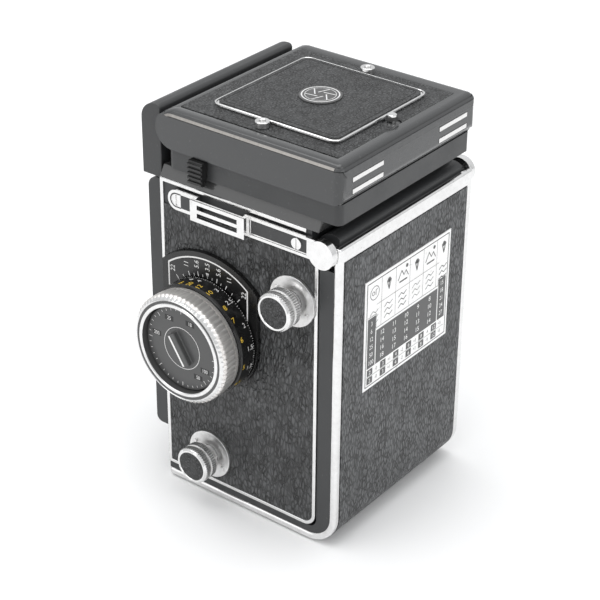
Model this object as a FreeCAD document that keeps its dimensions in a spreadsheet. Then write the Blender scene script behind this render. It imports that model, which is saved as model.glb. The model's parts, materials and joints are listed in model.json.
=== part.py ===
"""Twin lens reflex camera for 120 roll film, as separate pieces.

Millimetres. The origin is the middle of the tripod socket, on the face the camera stands on.
+Z is up, -Y is the lens side, +Y is the film side and +X is the side of the focusing knob.
"""
import FreeCAD, Part
import math
import os
import Sketcher

DOC = FreeCAD.newDocument("TwinLensReflexCamera")

SIZES = {
    # body shell
    "casting_half": 38.0, "leather_half": 38.5, "trim_half": 38.6, "inner_half": 35.6,
    "body_front": -38.0, "wall_front": -35.6, "side_rear": 29.0, "side_foot": 6.3,
    "deck_floor": 119.6, "deck_level": 122.0, "corner_round": 5.0, "trim_line": 1.3, "gap": 0.3,
    # optics inside the body
    "viewing_height": 93.0, "taking_height": 51.0, "lens_hole": 15.0,
    "gate_front": 26.0, "gate_back": 28.0, "gate_half": 28.0, "screen_half": 28.5,
    "well_front": -31.0, "well_rear": 24.0, "roller_round": 2.2,
    # film spools and their knobs
    "takeup_y": 19.2, "takeup_z": 94.2, "supply_y": -17.7, "supply_z": 18.2,
    "spool_round": 12.5, "spool_core": 6.0, "spindle": 4.0, "running": 0.05,
    "flange_round": 9.2, "knob_round": 6.9, "knob_face": 49.5,
    # hinge of the back
    "hinge_y": 31.9, "hinge_z": 116.1, "barrel_round": 5.2, "pin_round": 1.5,
    # back cover
    "back_face": 37.7, "back_base": 0.6, "bead": 2.7, "back_round": 12.0, "panel_half": 35.7,
    "panel_top": 112.9, "back_top": 118.6, "flange_rear": 35.0, "flange_front": 29.3,
    "table_left": -26.0, "table_right": 24.5, "table_low": 58.6, "table_high": 100.7,
    "socket_round": 8.0, "thread_round": 3.175, "socket_depth": 6.5, "foot_round": 4.0,
    # focusing drive
    "focus_y": -16.3, "focus_z": 70.0, "shaft_round": 3.0, "scale_round": 21.3, "scale_side": 21.4,
    "scale_arch": 30.0, "scale_face": 40.2, "dial_back": 40.6, "dial_round": 20.7, "grip_round": 20.3,
    "grip_back": 47.9, "grip_face": 56.5, "recess_round": 16.0,
    # crank on the other side
    "crank_y": -10.0, "crank_z": 76.0, "crank_plate_round": 15.0, "crank_reach": 27.0,
    # strap lugs
    "lug_z": 116.4, "lug_front": -29.4, "lug_half": 3.7, "lug_face": 40.2, "bridge_face": 42.2,
    "bridge_front": -21.7, "bridge_rear": 1.4,
    # lens board
    "board_half": 35.0, "board_front": -46.5, "board_back": -38.8, "board_low": 19.0,
    "board_high": 119.0, "barrel_out": 17.0, "barrel_tip": -60.5, "post_round": 2.5, "post_x": 32.0,
    "wheel_x": 17.5, "wheel_z": 72.0, "wheel_round": 7.0, "button_x": -27.0, "button_z": 27.0,
    "sync_x": 27.0, "sync_z": 31.0,
    # meter housing above the lens board
    "meter_half": 36.0, "meter_front": -47.8, "meter_back": -39.3, "meter_low": 120.0,
    "meter_high": 146.5,
    # folding hood
    "base_half": 37.4, "base_front": -35.0, "base_rear": 36.4, "base_low": 126.0,
    "base_high": 133.3,
    "lid_half": 38.7, "lid_front": -39.0, "lid_rear": 37.5, "lid_low": 133.5, "lid_high": 147.3,
    "lid_wall": 1.5, "lid_axis_y": -32.1, "lid_axis_z": 140.4,
    "recess_half": 32.5, "recess_front": -33.0, "recess_rear": 32.0, "leather_low": 146.6,
    "leather_top": 147.1, "lid_button_y": 29.2, "lid_void": 143.0,
    "finder_half": 25.7, "finder_y": 0.3, "finder_plate": 148.0, "finder_top": 148.7,
    "side_hinge_x": 33.2, "side_hinge_z": 135.6, "side_reach": 32.0, "side_front": -29.0, "side_back": 30.8,
    "rear_hinge_y": 33.2, "rear_hinge_z": 134.2, "rear_reach": 30.0, "flap_thick": 0.6, "flap_barrel": 0.95,
    "wire_round": 0.45, "wire_bore": 0.5,
    "latch_front": -23.7, "latch_rear": -17.7, "latch_out": 41.0,
}


class Size:
    """A length that knows its value and the sheet expression that gives it."""

    def __init__(self, value, text):
        self.value = value
        self.text = text

    def __add__(self, other):
        other = as_size(other)
        return Size(self.value + other.value, f"({self.text} + {other.text})")

    def __sub__(self, other):
        other = as_size(other)
        return Size(self.value - other.value, f"({self.text} - {other.text})")

    def __rsub__(self, other):
        return as_size(other) - self

    def __mul__(self, factor):
        return Size(self.value * factor, f"({self.text} * {factor:g})")

    def __neg__(self):
        return Size(-self.value, f"(0 - {self.text})")

    __radd__ = __add__
    __rmul__ = __mul__


def as_size(number):
    """A plain number as a Size."""
    return number if isinstance(number, Size) else Size(float(number), f"({number:g})")


def make_sheet():
    """The spreadsheet of driving dimensions, and a namespace that reads it."""
    sheet = DOC.addObject("Spreadsheet::Sheet", "Sizes")
    for row, (alias, value) in enumerate(SIZES.items(), 1):
        sheet.set(f"A{row}", alias)
        sheet.set(f"B{row}", str(value))
        sheet.setAlias(f"B{row}", alias)
    DOC.recompute()
    return {alias: Size(float(value), f"Sizes.{alias}") for alias, value in SIZES.items()}


S = make_sheet()
AXES = {"X": 0, "Y": 1, "Z": 2}
# turns a shape that is built along Z so that it lies along the axis
TURNS = {"X": ((0, 1, 0), 90), "Y": ((1, 0, 0), -90), "Z": ((0, 0, 1), 0)}
# turns a lathe profile, built along X, towards the axis
LATHE_TURNS = {"X": ((0, 0, 1), 0), "-X": ((0, 0, 1), 180), "-Y": ((0, 0, 1), -90), "-Z": ((0, 1, 0), 90)}
PLANES = {"YZ": "YZ_Plane", "XZ": "XZ_Plane", "XY": "XY_Plane"}


def bind(item, path, size):
    """Drive one property of an object from the sheet."""
    item.setExpression(path, as_size(size).text)


def place(item, at, turn=((0, 0, 1), 0)):
    """Put an object at a point given as sizes, after a fixed turn."""
    axis, angle = turn
    turned = FreeCAD.Rotation(FreeCAD.Vector(*axis), angle)
    item.Placement = FreeCAD.Placement(FreeCAD.Vector(0, 0, 0), turned)
    for letter, size in zip("xyz", at):
        bind(item, f"Placement.Base.{letter}", size)
    return item


def box(name, x, y, z):
    """A box between three (low, high) pairs."""
    item = DOC.addObject("Part::Box", name)
    for path, (low, high) in zip(("Length", "Width", "Height"), (x, y, z)):
        bind(item, path, as_size(high) - low)
    return place(item, (x[0], y[0], z[0]))


def rod(name, axis, centre, radius, span):
    """A cylinder along X, Y or Z; centre gives the other two places in order."""
    item = DOC.addObject("Part::Cylinder", name)
    bind(item, "Radius", radius)
    bind(item, "Height", as_size(span[1]) - span[0])
    at = list(centre)
    at.insert(AXES[axis], span[0])
    return place(item, at, TURNS[axis])


def ball(name, centre, radius):
    """A sphere."""
    item = DOC.addObject("Part::Sphere", name)
    bind(item, "Radius", radius)
    return place(item, centre)


def join(name, *pieces):
    """One solid from pieces that meet."""
    item = DOC.addObject("Part::MultiFuse", name)
    item.Shapes = list(pieces)
    item.Refine = True
    return item


def group(name, *pieces):
    """Separate solids that share one node."""
    item = DOC.addObject("Part::Compound", name)
    item.Links = list(pieces)
    return item


def cut(name, base, *tools):
    """The base with the tools taken away."""
    item = DOC.addObject("Part::Cut", name)
    item.Base = base
    item.Tool = tools[0] if len(tools) == 1 else join(name + "_tools", *tools)
    item.Refine = True
    return item


def overlap(name, first, second):
    """What two shapes share."""
    item = DOC.addObject("Part::Common", name)
    item.Base = first
    item.Tool = second
    return item


def mirrored(name, piece):
    """The piece on the other side of the camera."""
    item = DOC.addObject("Part::Mirroring", name)
    item.Source = piece
    item.Normal = (1, 0, 0)
    return item


def both_sides(name, piece):
    """The piece and its mirror image in one node."""
    return group(name, piece, mirrored(name + "_other", piece))


def sketch_in(body, name, plane, outline):
    """A closed outline of straight lines, each corner tied to the sheet."""
    sketch = body.newObject("Sketcher::SketchObject", name)
    planes = {feature.Role: feature for feature in body.Origin.OriginFeatures}
    sketch.AttachmentSupport = [(planes[PLANES[plane]], "")]
    sketch.MapMode = "FlatFace"
    corners = [(as_size(u), as_size(v)) for u, v in outline]
    points = [FreeCAD.Vector(u.value, v.value, 0) for u, v in corners]
    count = len(points)
    for index in range(count):
        sketch.addGeometry(Part.LineSegment(points[index], points[(index + 1) % count]))
    for index in range(count):
        sketch.addConstraint(Sketcher.Constraint("Coincident", index, 2, (index + 1) % count, 1))
    for index, corner in enumerate(corners):
        for kind, size in zip(("DistanceX", "DistanceY"), corner):
            number = sketch.addConstraint(Sketcher.Constraint(kind, -1, 1, index, 1, size.value))
            sketch.setExpression(f"Constraints[{number}]", size.text)
    return sketch


def edges_at(shape, corner):
    """Names of the edges whose ends all lie at the coordinates given in corner."""
    found = []
    for number, edge in enumerate(shape.Edges, 1):
        ends = [vertex.Point for vertex in edge.Vertexes]
        if all(abs(getattr(end, axis) - value) < 0.01 for end in ends for axis, value in corner.items()):
            found.append(f"Edge{number}")
    return found


def round_edges(body, name, corner, radius):
    """Round the edges of a body that lie at a corner, such as dict(y=..., z=...)."""
    DOC.recompute()
    last = body.Tip
    values = {axis: as_size(size).value for axis, size in corner.items()}
    fillet = body.newObject("PartDesign::Fillet", name)
    fillet.Base = (last, edges_at(last.Shape, values))
    bind(fillet, "Radius", radius)
    body.Tip = fillet


def prism(name, plane, outline, span, rounds=()):
    """A padded outline; rounds lists (corner, radius) pairs of edges to round."""
    body = DOC.addObject("PartDesign::Body", name)
    sketch = sketch_in(body, name + "_outline", plane, outline)
    low, high = as_size(span[0]), as_size(span[1])
    offset = -high if plane == "XZ" else low
    sketch.AttachmentOffset = FreeCAD.Placement(FreeCAD.Vector(0, 0, offset.value), FreeCAD.Rotation())
    bind(sketch, "AttachmentOffset.Base.z", offset)
    pad = body.newObject("PartDesign::Pad", name + "_pad")
    pad.Profile = sketch
    bind(pad, "Length", high - low)
    for number, (corner, radius) in enumerate(rounds, 1):
        round_edges(body, f"{name}_round{number}", corner, radius)
    return body


def slab(name, x, y, z, rounds=()):
    """A box as a body, so that its corners can be rounded."""
    outline = [(x[0], y[0]), (x[1], y[0]), (x[1], y[1]), (x[0], y[1])]
    return prism(name, "XY", outline, z, rounds)


def corners_of(x, y):
    """The four upright corners of a box."""
    return [dict(x=one, y=other) for one in x for other in y]


def lathe(name, direction, at, profile):
    """A turned piece. The profile gives (distance along the axis from at, radius) points."""
    body = DOC.addObject("PartDesign::Body", name)
    sketch = sketch_in(body, name + "_profile", "XY", profile)
    turned = body.newObject("PartDesign::Revolution", name + "_turned")
    turned.Profile = sketch
    turned.ReferenceAxis = (sketch, ["H_Axis"])
    turned.Angle = 360
    return place(body, at, LATHE_TURNS[direction])


def steps(*sections, bore=0):
    """A stepped lathe profile from (start, end, radius) sections round a bore."""
    upper = [point for start, end, radius in sections for point in ((start, radius), (end, radius))]
    return [(sections[0][0], bore)] + upper + [(sections[-1][1], bore)]


WIDE = (-S["inner_half"], S["inner_half"])
HINGE = (S["hinge_y"], S["hinge_z"])
TAKEUP = (S["takeup_y"], S["takeup_z"])
SUPPLY = (S["supply_y"], S["supply_z"])
FOCUS = (S["focus_y"], S["focus_z"])
CRANK = (S["crank_y"], S["crank_z"])
FEET = [(x, y) for x in (-28, 28) for y in (-27, 22)]


# --- body shell and what it holds ---------------------------------------------------------------

def side_outline(inset):
    """The side of the body in the YZ plane, inset from its edge."""
    front, rear = S["body_front"] + inset, S["side_rear"] - inset
    foot, top = S["side_foot"] + inset, S["deck_level"] - inset
    return [(front, foot), (rear, foot), (rear, top), (front, top)]


def side_panel(name, inset, span, radius):
    """A panel of the side's shape with the bottom rear corner rounded."""
    corner = dict(y=S["side_rear"] - inset, z=S["side_foot"] + inset)
    return prism(name, "YZ", side_outline(inset), span, [(corner, radius)])


def make_body_casting():
    side_span = (S["inner_half"], S["casting_half"])
    plate = side_panel("casting_side", 0, side_span, S["corner_round"])
    cheek = rod("casting_cheek", "X", HINGE, 3.0, side_span)
    neck = box("casting_neck", side_span, (S["side_rear"] - 4, S["hinge_y"]),
               (S["hinge_z"] - 3, S["hinge_z"] + 0.9))
    side = join("casting_side_whole", plate, cheek, neck)
    notch = box("casting_notch", (S["inner_half"] - 1, S["casting_half"] + 1), (26, 34),
                (S["hinge_z"] + 0.9, S["deck_level"] + 1))
    near = cut("casting_side_cut", side, notch)
    far = mirrored("casting_far_side", near)
    front = box("casting_front", WIDE, (S["body_front"], S["wall_front"]), (S["side_foot"], S["deck_level"]))
    deck = box("casting_deck", WIDE, (S["wall_front"], 25.5), (S["deck_floor"], S["deck_level"]))
    beam = box("casting_beam", WIDE, (22.5, 26.0), (107.5, S["deck_floor"]))
    sill = box("casting_sill", WIDE, (S["wall_front"], -32.0), (S["side_foot"], 12.0))
    shell = join("casting_shell", near, far, front, deck, beam, sill)
    across = (-S["casting_half"] - 2, S["casting_half"] + 2)
    near_side = (S["inner_half"] - 1, S["casting_half"] + 1)
    through_front = (S["body_front"] - 1, S["wall_front"] + 1)
    holes = [
        rod("viewing_hole", "Y", (0, S["viewing_height"]), S["lens_hole"], through_front),
        rod("taking_hole", "Y", (0, S["taking_height"]), S["lens_hole"], through_front),
        box("screen_hole", (-S["screen_half"], S["screen_half"]), (S["well_front"], S["well_rear"]),
            (S["deck_floor"] - 1, S["deck_level"] + 1)),
        rod("back_pin_hole", "X", HINGE, S["pin_round"], across),
        rod("focus_hole", "X", FOCUS, S["shaft_round"] + S["running"], near_side),
        rod("takeup_hole", "X", TAKEUP, S["spindle"] + S["running"], near_side),
        rod("supply_hole", "X", SUPPLY, S["spindle"] + S["running"], near_side),
        rod("crank_hole", "X", CRANK, S["shaft_round"] + S["running"], (-S["casting_half"] - 1, -34)),
    ]
    holes += [rod(f"post_hole{number}", "Y", (side, S["wheel_z"]), S["post_round"] + S["running"],
                  through_front) for number, side in enumerate((-S["post_x"], S["post_x"]))]
    return cut("body_casting", shell, *holes)


def make_film_gate():
    """Light box: the film gate, the sloping roof and floor and the bed of the mirror."""
    gate = box("gate_plate", WIDE, (S["gate_front"], S["gate_back"]), (19.0, 82.6))
    window = box("gate_window", (-S["gate_half"], S["gate_half"]), (25, 29), (23.0, 79.0))
    frame = cut("gate_frame", gate, window)
    roof = prism("gate_roof", "YZ", [(-35.5, 63), (26.2, 79.2), (26.2, 80.4), (-35.5, 64.2)], WIDE)
    floor = prism("gate_floor", "YZ", [(-35.5, 37.3), (26.2, 21.0), (26.2, 22.2), (-35.5, 38.5)], WIDE)
    bed = prism("mirror_bed", "YZ", [(-30.2, 64.2), (-27.6, 64.2), (22.3, 114.1), (22.3, 116.7)], (-30, 30))
    return join("film_gate", frame, roof, floor, bed)


def make_mirror():
    low = (-31.0, 66.0)
    reach = 49.6
    outline = [low, (low[0] + reach, low[1] + reach), (low[0] + reach - 1, low[1] + reach + 1),
               (low[0] - 1, low[1] + 1)]
    return prism("reflex_mirror", "YZ", outline, (-29, 29))


def make_rollers():
    length = (-30.8, 30.8)
    rod("upper_roller", "X", (27.6, 86.0), S["roller_round"], length)
    rod("lower_roller", "X", (27.6, 15.6), S["roller_round"], length)


def make_screen():
    box("focusing_screen", (-29.3, 29.3), (S["well_front"] - 0.6, S["well_rear"] + 0.6),
        (S["deck_level"], S["deck_level"] + 1.6))


def make_leather():
    """The covering of both sides and of the front."""
    skin = (S["casting_half"], S["leather_half"])
    inset = S["trim_line"]
    sheet = side_panel("leather_side", inset, skin, S["corner_round"] - inset)
    reach = (S["casting_half"] - 1, S["leather_half"] + 1)
    lug = box("leather_lug_edge", reach, (S["body_front"] - 1, 40), (S["lug_z"] - 3.9, 130))
    holes = [scale_shape("leather_scale", 0.1, reach), lug]
    holes += [rod(f"leather_flange{number}", "X", at, S["flange_round"] + 0.1, reach)
              for number, at in enumerate((TAKEUP, SUPPLY))]
    near = cut("leather_near", sheet, *holes)
    plate_hole = rod("leather_crank", "X", CRANK, S["crank_plate_round"] + 0.1, reach)
    counter_hole = rod("leather_counter", "X", (S["crank_y"], S["crank_z"] + 23), 5.1, reach)
    lug_copy = box("leather_lug_edge_far", reach, (S["body_front"] - 1, 40), (S["lug_z"] - 3.9, 130))
    other = side_panel("leather_side_far", inset, skin, S["corner_round"] - inset)
    far = mirrored("leather_far", cut("leather_far_cut", other, plate_hole, counter_hole, lug_copy))
    front = box("leather_front", (-S["casting_half"], S["casting_half"]),
                (S["body_front"] - 0.3, S["body_front"]), (S["side_foot"], 118.5))
    openings = [rod(f"leather_lens{number}", "Y", (0, height), S["lens_hole"], (-39, -37))
                for number, height in enumerate((S["viewing_height"], S["taking_height"]))]
    openings += [rod(f"leather_post{number}", "Y", (side, S["wheel_z"]), 3.2, (-39, -37))
                 for number, side in enumerate((-S["post_x"], S["post_x"]))]
    group("body_leather", near, far, cut("leather_front_cut", front, *openings))


def make_side_trims():
    """The bright outline round each side."""
    span = (S["casting_half"], S["trim_half"])
    outer = side_panel("trim_outer", 0, span, S["corner_round"])
    cutter_span = (S["casting_half"] - 1, S["trim_half"] + 1)
    inner = side_panel("trim_inner", S["trim_line"], cutter_span, S["corner_round"] - S["trim_line"])
    flanges = [rod(f"trim_flange{number}", "X", at, S["flange_round"] + 0.05, cutter_span)
               for number, at in enumerate((TAKEUP, SUPPLY))]
    notch = box("trim_notch", cutter_span, (24, 34), (S["lug_z"] - 5.2, S["deck_level"] + 1))
    both_sides("side_trims", cut("side_trim", outer, inner, notch, *flanges))


def make_top_deck():
    half, rise = S["leather_half"], S["base_low"]
    outline = [(-half, S["deck_level"]), (half, S["deck_level"]), (half - 2.2, rise), (2.2 - half, rise)]
    deck = prism("deck_slope", "XZ", outline, (S["body_front"], S["side_rear"]))
    well = box("deck_well", (-29.6, 29.6), (S["well_front"] - 0.8, S["well_rear"] + 0.8), (121, 127))
    cut("top_deck", deck, well)


def make_strap_lugs():
    z_span = (S["lug_z"] - S["lug_half"], S["lug_z"] + S["lug_half"])
    x_span = (S["trim_half"], S["lug_face"])
    rail = box("lug_rail", x_span, (S["lug_front"], S["hinge_y"]), z_span)
    tip = rod("lug_tip", "X", (S["lug_front"], S["lug_z"]), S["lug_half"], x_span)
    boss = rod("lug_boss", "X", HINGE, 5.0, (S["trim_half"], S["lug_face"] + 1.2))
    bridge_z = (S["lug_z"] - 4.2, S["lug_z"] + 3.4)
    bridge_y = (S["bridge_front"], S["bridge_rear"])
    bridge = box("lug_bridge", (S["trim_half"], S["bridge_face"]), bridge_y, bridge_z)
    gap = box("lug_gap", (S["trim_half"] - 1, S["bridge_face"] - 1.2),
              (bridge_y[0] + 1.5, bridge_y[1] - 1.5), (S["lug_z"] - 6, S["lug_z"] + 6))
    slots = [box(f"lug_slot{number}", (39, 44), (bridge_y[0] + 3, bridge_y[1] - 3), (low, low + 1.7))
             for number, low in enumerate((S["lug_z"] - 2.6, S["lug_z"] + 0.4))]
    channel = box("lug_channel", (S["lug_face"] - 0.7, S["lug_face"] + 1), (S["bridge_rear"] + 0.6, 25.5),
                  (S["lug_z"] - 2.7, S["lug_z"] + 2.7))
    screw_places = (S["lug_front"], 21.2)
    screw_round = 2.0
    screw_holes = [rod(f"lug_screw_hole{number}", "X", (y, S["lug_z"]), screw_round, (S["lug_face"] - 1, 44))
                   for number, y in enumerate(screw_places)]
    lug = cut("strap_lug", join("lug_whole", rail, tip, boss, bridge), gap, channel, *slots, *screw_holes)
    both_sides("strap_lugs", lug)
    screws = []
    for number, y in enumerate(screw_places):
        head = rod(f"screw_head{number}", "X", (y, S["lug_z"]), screw_round,
                   (S["lug_face"] - 1, S["lug_face"] - 0.1))
        groove = box(f"screw_slot{number}", (S["lug_face"] - 0.5, 44), (y - 0.3, y + 0.3),
                     (S["lug_z"] - 3, S["lug_z"] + 3))
        screws.append(cut(f"lug_screw{number}", head, groove))
    both_sides("lug_screws", group("lug_screw_pair", *screws))


def scale_shape(name, grow, span):
    """The arched plate behind the focusing knob, grown all round."""
    disc = rod(name + "_disc", "X", FOCUS, S["scale_round"] + grow, span)
    arch = rod(name + "_arch", "X", FOCUS, S["scale_arch"] + grow, span)
    side = S["scale_side"] + grow
    band = box(name + "_band", span, (S["focus_y"] - side, S["focus_y"] + side),
               (S["focus_z"], S["focus_z"] + 40))
    return join(name, disc, overlap(name + "_top", arch, band))


def make_focus_scale():
    span = (S["casting_half"], S["scale_face"])
    hole = rod("scale_hole", "X", FOCUS, 6.0, (37, 42))
    trim_edge = box("scale_trim_edge", (37, 42), (-45, S["body_front"] + S["trim_line"] + 0.05), (40, 110))
    cut("focus_scale_plate", scale_shape("scale_blank", 0, span), hole, trim_edge)


def make_spool_flanges():
    flanges = []
    for number, at in enumerate((TAKEUP, SUPPLY)):
        disc = rod(f"flange_disc{number}", "X", at, S["flange_round"], (S["casting_half"], 39.6))
        hole = rod(f"flange_hole{number}", "X", at, S["spindle"] + S["running"], (37, 41))
        pins = [rod(f"flange_pin{number}_{side}", "X", (at[0] + 6.2 * side, at[1] - 3.6 * side), 0.8,
                    (39.0, 40.2)) for side in (-1, 1)]
        flanges.append(cut(f"flange{number}", join(f"flange_blank{number}", disc, *pins), hole))
    group("spool_flanges", *flanges)


def make_crank_side():
    outside = (-39.6, -S["casting_half"])
    plate = rod("crank_plate_blank", "X", CRANK, S["crank_plate_round"], outside)
    hole = rod("crank_plate_hole", "X", CRANK, S["shaft_round"] + S["running"], (-41, -37))
    counter = (S["crank_y"], S["crank_z"] + 23)
    rim = cut("counter_rim", rod("counter_ring", "X", counter, 5.0, outside),
              rod("counter_eye", "X", counter, 3.6, (-41, -38.6)))
    group("crank_plate", cut("crank_disc", plate, hole), rim)
    rod("counter_window", "X", counter, 3.6, (-39.4, -38.6))
    hub = lathe("crank_hub", "-X", (0, *CRANK), steps((32.0, 39.9, S["shaft_round"]), (39.9, 42.5, 7.0)))
    end_z = S["crank_z"] - S["crank_reach"]
    arm_half, axle_round = 3.2, 1.2
    thick = (-42.5, -40.6)
    bar = box("crank_bar", thick, (S["crank_y"] - arm_half, S["crank_y"] + arm_half), (end_z, S["crank_z"]))
    tip = rod("crank_tip", "X", (S["crank_y"], end_z), arm_half, thick)
    axle = rod("crank_axle", "X", (S["crank_y"], end_z), axle_round, (-51.0, -42.0))
    join("crank_arm", hub, bar, tip, axle)
    lathe("crank_handle", "-X", (0, S["crank_y"], end_z),
          steps((42.8, 44.2, 3.2), (44.2, 49.5, 3.8), (49.5, 50.8, 3.0), bore=axle_round + S["running"]))


def make_meter_housing():
    y, z = (S["meter_front"], S["meter_back"]), (S["meter_low"], S["meter_high"])
    outline = [(y[0], z[0]), (y[1], z[0]), (y[1], z[1]), (y[0], z[1])]
    span = (-S["meter_half"], S["meter_half"])
    rounds = [(dict(y=y[0], z=z[1]), 6.0), (dict(y=y[1], z=z[1]), 1.5)]
    housing = prism("meter_shell", "YZ", outline, span, rounds)
    foot = box("meter_foot", (-30, 30), (S["meter_back"] - 1, S["body_front"]),
               (S["meter_low"], S["base_low"]))
    window_half, window_low, window_high, clear = 32.8, 123.7, 139.8, 0.2
    recess = box("meter_recess", (-window_half - clear, window_half + clear),
                 (S["meter_front"] - 1, S["meter_front"] + 1), (window_low - clear, window_high + clear))
    cut("meter_housing", join("meter_blank", housing, foot), recess)
    box("meter_window", (-window_half, window_half), (S["meter_front"] + 0.1, S["meter_front"] + 1),
        (window_low, window_high))


# --- back cover ---------------------------------------------------------------------------------

def back_strip(name, outer, inner, front, top, span, radius):
    """An L-shaped strip, down the back and under the base; outer and inner are (rear y, base z)."""
    outline = [(front, outer[1]), outer, (outer[0], top), (inner[0], top), inner, (front, inner[1])]
    thick = as_size(outer[0]).value - as_size(inner[0]).value
    rounds = [(dict(y=outer[0], z=outer[1]), radius), (dict(y=inner[0], z=inner[1]), radius - thick)]
    return prism(name, "YZ", outline, span, rounds)


def split_cover(whole):
    """The cover as plain pressings that meet edge to edge: three across and four down and along."""
    seam = 34.6
    columns = [(-40, -seam), (-seam, seam), (seam, 40)]
    bend_y, bend_z, neck_z = S["back_face"] - S["back_round"], S["back_base"] + S["back_round"], 108
    zones = [((-40, bend_y), (0, bend_z)), ((bend_y, 40), (0, bend_z)), ((bend_y, 40), (bend_z, neck_z)),
             ((20, 40), (neck_z, 125))]
    pressings = []
    for column, x in enumerate(columns):
        for number, (y, z) in enumerate(zones):
            zone = box(f"cover_zone{column}_{number}", x, y, z)
            pressings.append(overlap(f"cover_piece{column}_{number}", whole, zone))
    group("back_cover", *pressings)


def make_back():
    panel = (-S["panel_half"] + 0.1, S["panel_half"] - 0.1)
    outer, inner = (S["back_face"], S["back_base"]), (S["flange_rear"], S["back_base"] + S["bead"])
    full = (-S["leather_half"], S["leather_half"])
    front, top = S["body_front"], S["back_top"]
    frame = back_strip("back_frame", outer, inner, front, top, full, S["back_round"])
    clear = [(front + S["bead"], -2), (42, -2), (42, S["panel_top"]), (30, S["panel_top"]), (30, 8),
             (front + S["bead"], 8)]
    cut("back_trim", frame, prism("back_window", "YZ", clear, (-S["panel_half"], S["panel_half"])))

    sheet = 0.5
    under = (S["back_face"] - sheet, S["back_base"] + sheet)
    shell = back_strip("back_shell", under, (34.3, 3.7), front + S["bead"], S["panel_top"], panel,
                       S["back_round"] - sheet)
    rim = (S["flange_rear"], S["back_base"] + S["bead"])
    sides = back_strip("back_sides", rim, (S["flange_front"], 6.0), front, 109.5,
                       (-S["casting_half"], S["casting_half"]), S["back_round"] - S["bead"])
    hollow = box("back_hollow", (-34.6, 34.6), (front + 1.6, 34.3), (3.7, 120))
    flanges = cut("back_flanges", sides, hollow)
    barrel_span = (-S["inner_half"] + S["gap"], S["inner_half"] - S["gap"])
    barrel = rod("back_barrel", "X", HINGE, S["barrel_round"], barrel_span)
    web = box("back_web", barrel_span, (32, S["flange_rear"]), (108, 117.5))
    blank = join("back_blank", shell, flanges, barrel, web)
    bores = [rod("back_bore", "X", HINGE, S["pin_round"] + S["running"], (-40, 40)),
             rod("socket_hole", "Z", (0, 0), S["socket_round"], (0, 5))]
    bores += [rod(f"foot_hole{number}", "Z", at, S["foot_round"], (0, 5))
              for number, at in enumerate(FEET)]
    trim_clear = box("back_trim_clear", (-40, 40), (S["flange_rear"], 40), (S["panel_top"], 120))
    split_cover(cut("cover_whole", blank, *bores, trim_clear))

    skin = back_strip("leather_strip", outer, under, front + S["bead"], S["panel_top"], panel,
                      S["back_round"])
    table_x, table_z = (S["table_left"], S["table_right"]), (S["table_low"], S["table_high"])
    table = box("table_space", table_x, (36, 40), table_z)
    holes = [rod("skin_socket", "Z", (0, 0), S["socket_round"], (0, 5))]
    holes += [rod(f"skin_foot{number}", "Z", at, S["foot_round"], (0, 5)) for number, at in enumerate(FEET)]
    cut("back_leather", skin, table, *holes)
    box("exposure_table", table_x, (S["back_face"] - sheet, S["back_face"] + 0.3), table_z)
    rod("back_hinge_pin", "X", HINGE, S["pin_round"], (-S["casting_half"], S["casting_half"]))


def make_back_fittings():
    body = rod("socket_body", "Z", (0, 0), S["socket_round"], (0, 8))
    bore = rod("socket_bore", "Z", (0, 0), S["thread_round"], (-1, S["socket_depth"]))
    cut("tripod_socket", body, bore)
    feet = [rod(f"foot{number}", "Z", at, S["foot_round"], (0, 3.7)) for number, at in enumerate(FEET)]
    group("back_feet", *feet)
    plate = box("pressure_face", (-30, 30), (30.2, 31.4), (20, 82))
    studs = [rod(f"pressure_stud{number}", "Y", at, 2.0, (31, 34.3))
             for number, at in enumerate([(x, z) for x in (-18, 18) for z in (36, 66)])]
    join("pressure_plate", plate, *studs)
    lever_z = 2.4
    plate = box("latch_plate", (-9, 9), (-40.2, -38.4), (lever_z, 13))
    pivot = rod("latch_pivot", "X", (-39.3, lever_z), 0.9, (-9, 9))
    tab = box("latch_tab", (-6, 6), (-42.0, -39.3), (11.4, 13))
    join("back_latch", plate, pivot, tab)


# --- focusing drive -----------------------------------------------------------------------------

def make_focus_drive():
    at = (0, *FOCUS)
    lathe("distance_dial", "X", at,
          steps((35.7, S["dial_back"], S["shaft_round"]), (S["dial_back"], S["grip_back"], S["dial_round"]),
                (S["grip_back"], 52, S["shaft_round"])))
    rim, face = S["grip_round"], S["grip_face"]
    stud = 2.0
    bowl = [(S["grip_back"], S["shaft_round"]), (S["grip_back"], rim - 0.8), (S["grip_back"] + 0.8, rim),
            (54.5, rim), (face - 0.5, rim - 0.9), (face, rim - 1.5), (face, S["recess_round"]),
            (53.0, S["recess_round"]), (53.0, stud + S["running"]), (52.0, stud + S["running"]),
            (52.0, S["shaft_round"])]
    lathe("focus_knob", "X", at, bowl)
    disc = lathe("reminder_disc", "X", at, steps((52.1, 53.3, stud), (53.3, 54.2, 15.7)))
    lean, half, reach = math.radians(33), 1.6, 6.2
    along = (-math.sin(lean) * reach, math.cos(lean) * reach)
    across = (math.cos(lean) * half, math.sin(lean) * half)
    outline = [(S["focus_y"] + along[0] * end + across[0] * side,
                S["focus_z"] + along[1] * end + across[1] * side)
               for end, side in ((-1, -1), (-1, 1), (1, 1), (1, -1))]
    join("reminder_dial", disc, prism("reminder_ridge", "YZ", outline, (54.0, 56.3)))


# --- spool knobs and take-up spool --------------------------------------------------------------

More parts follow.
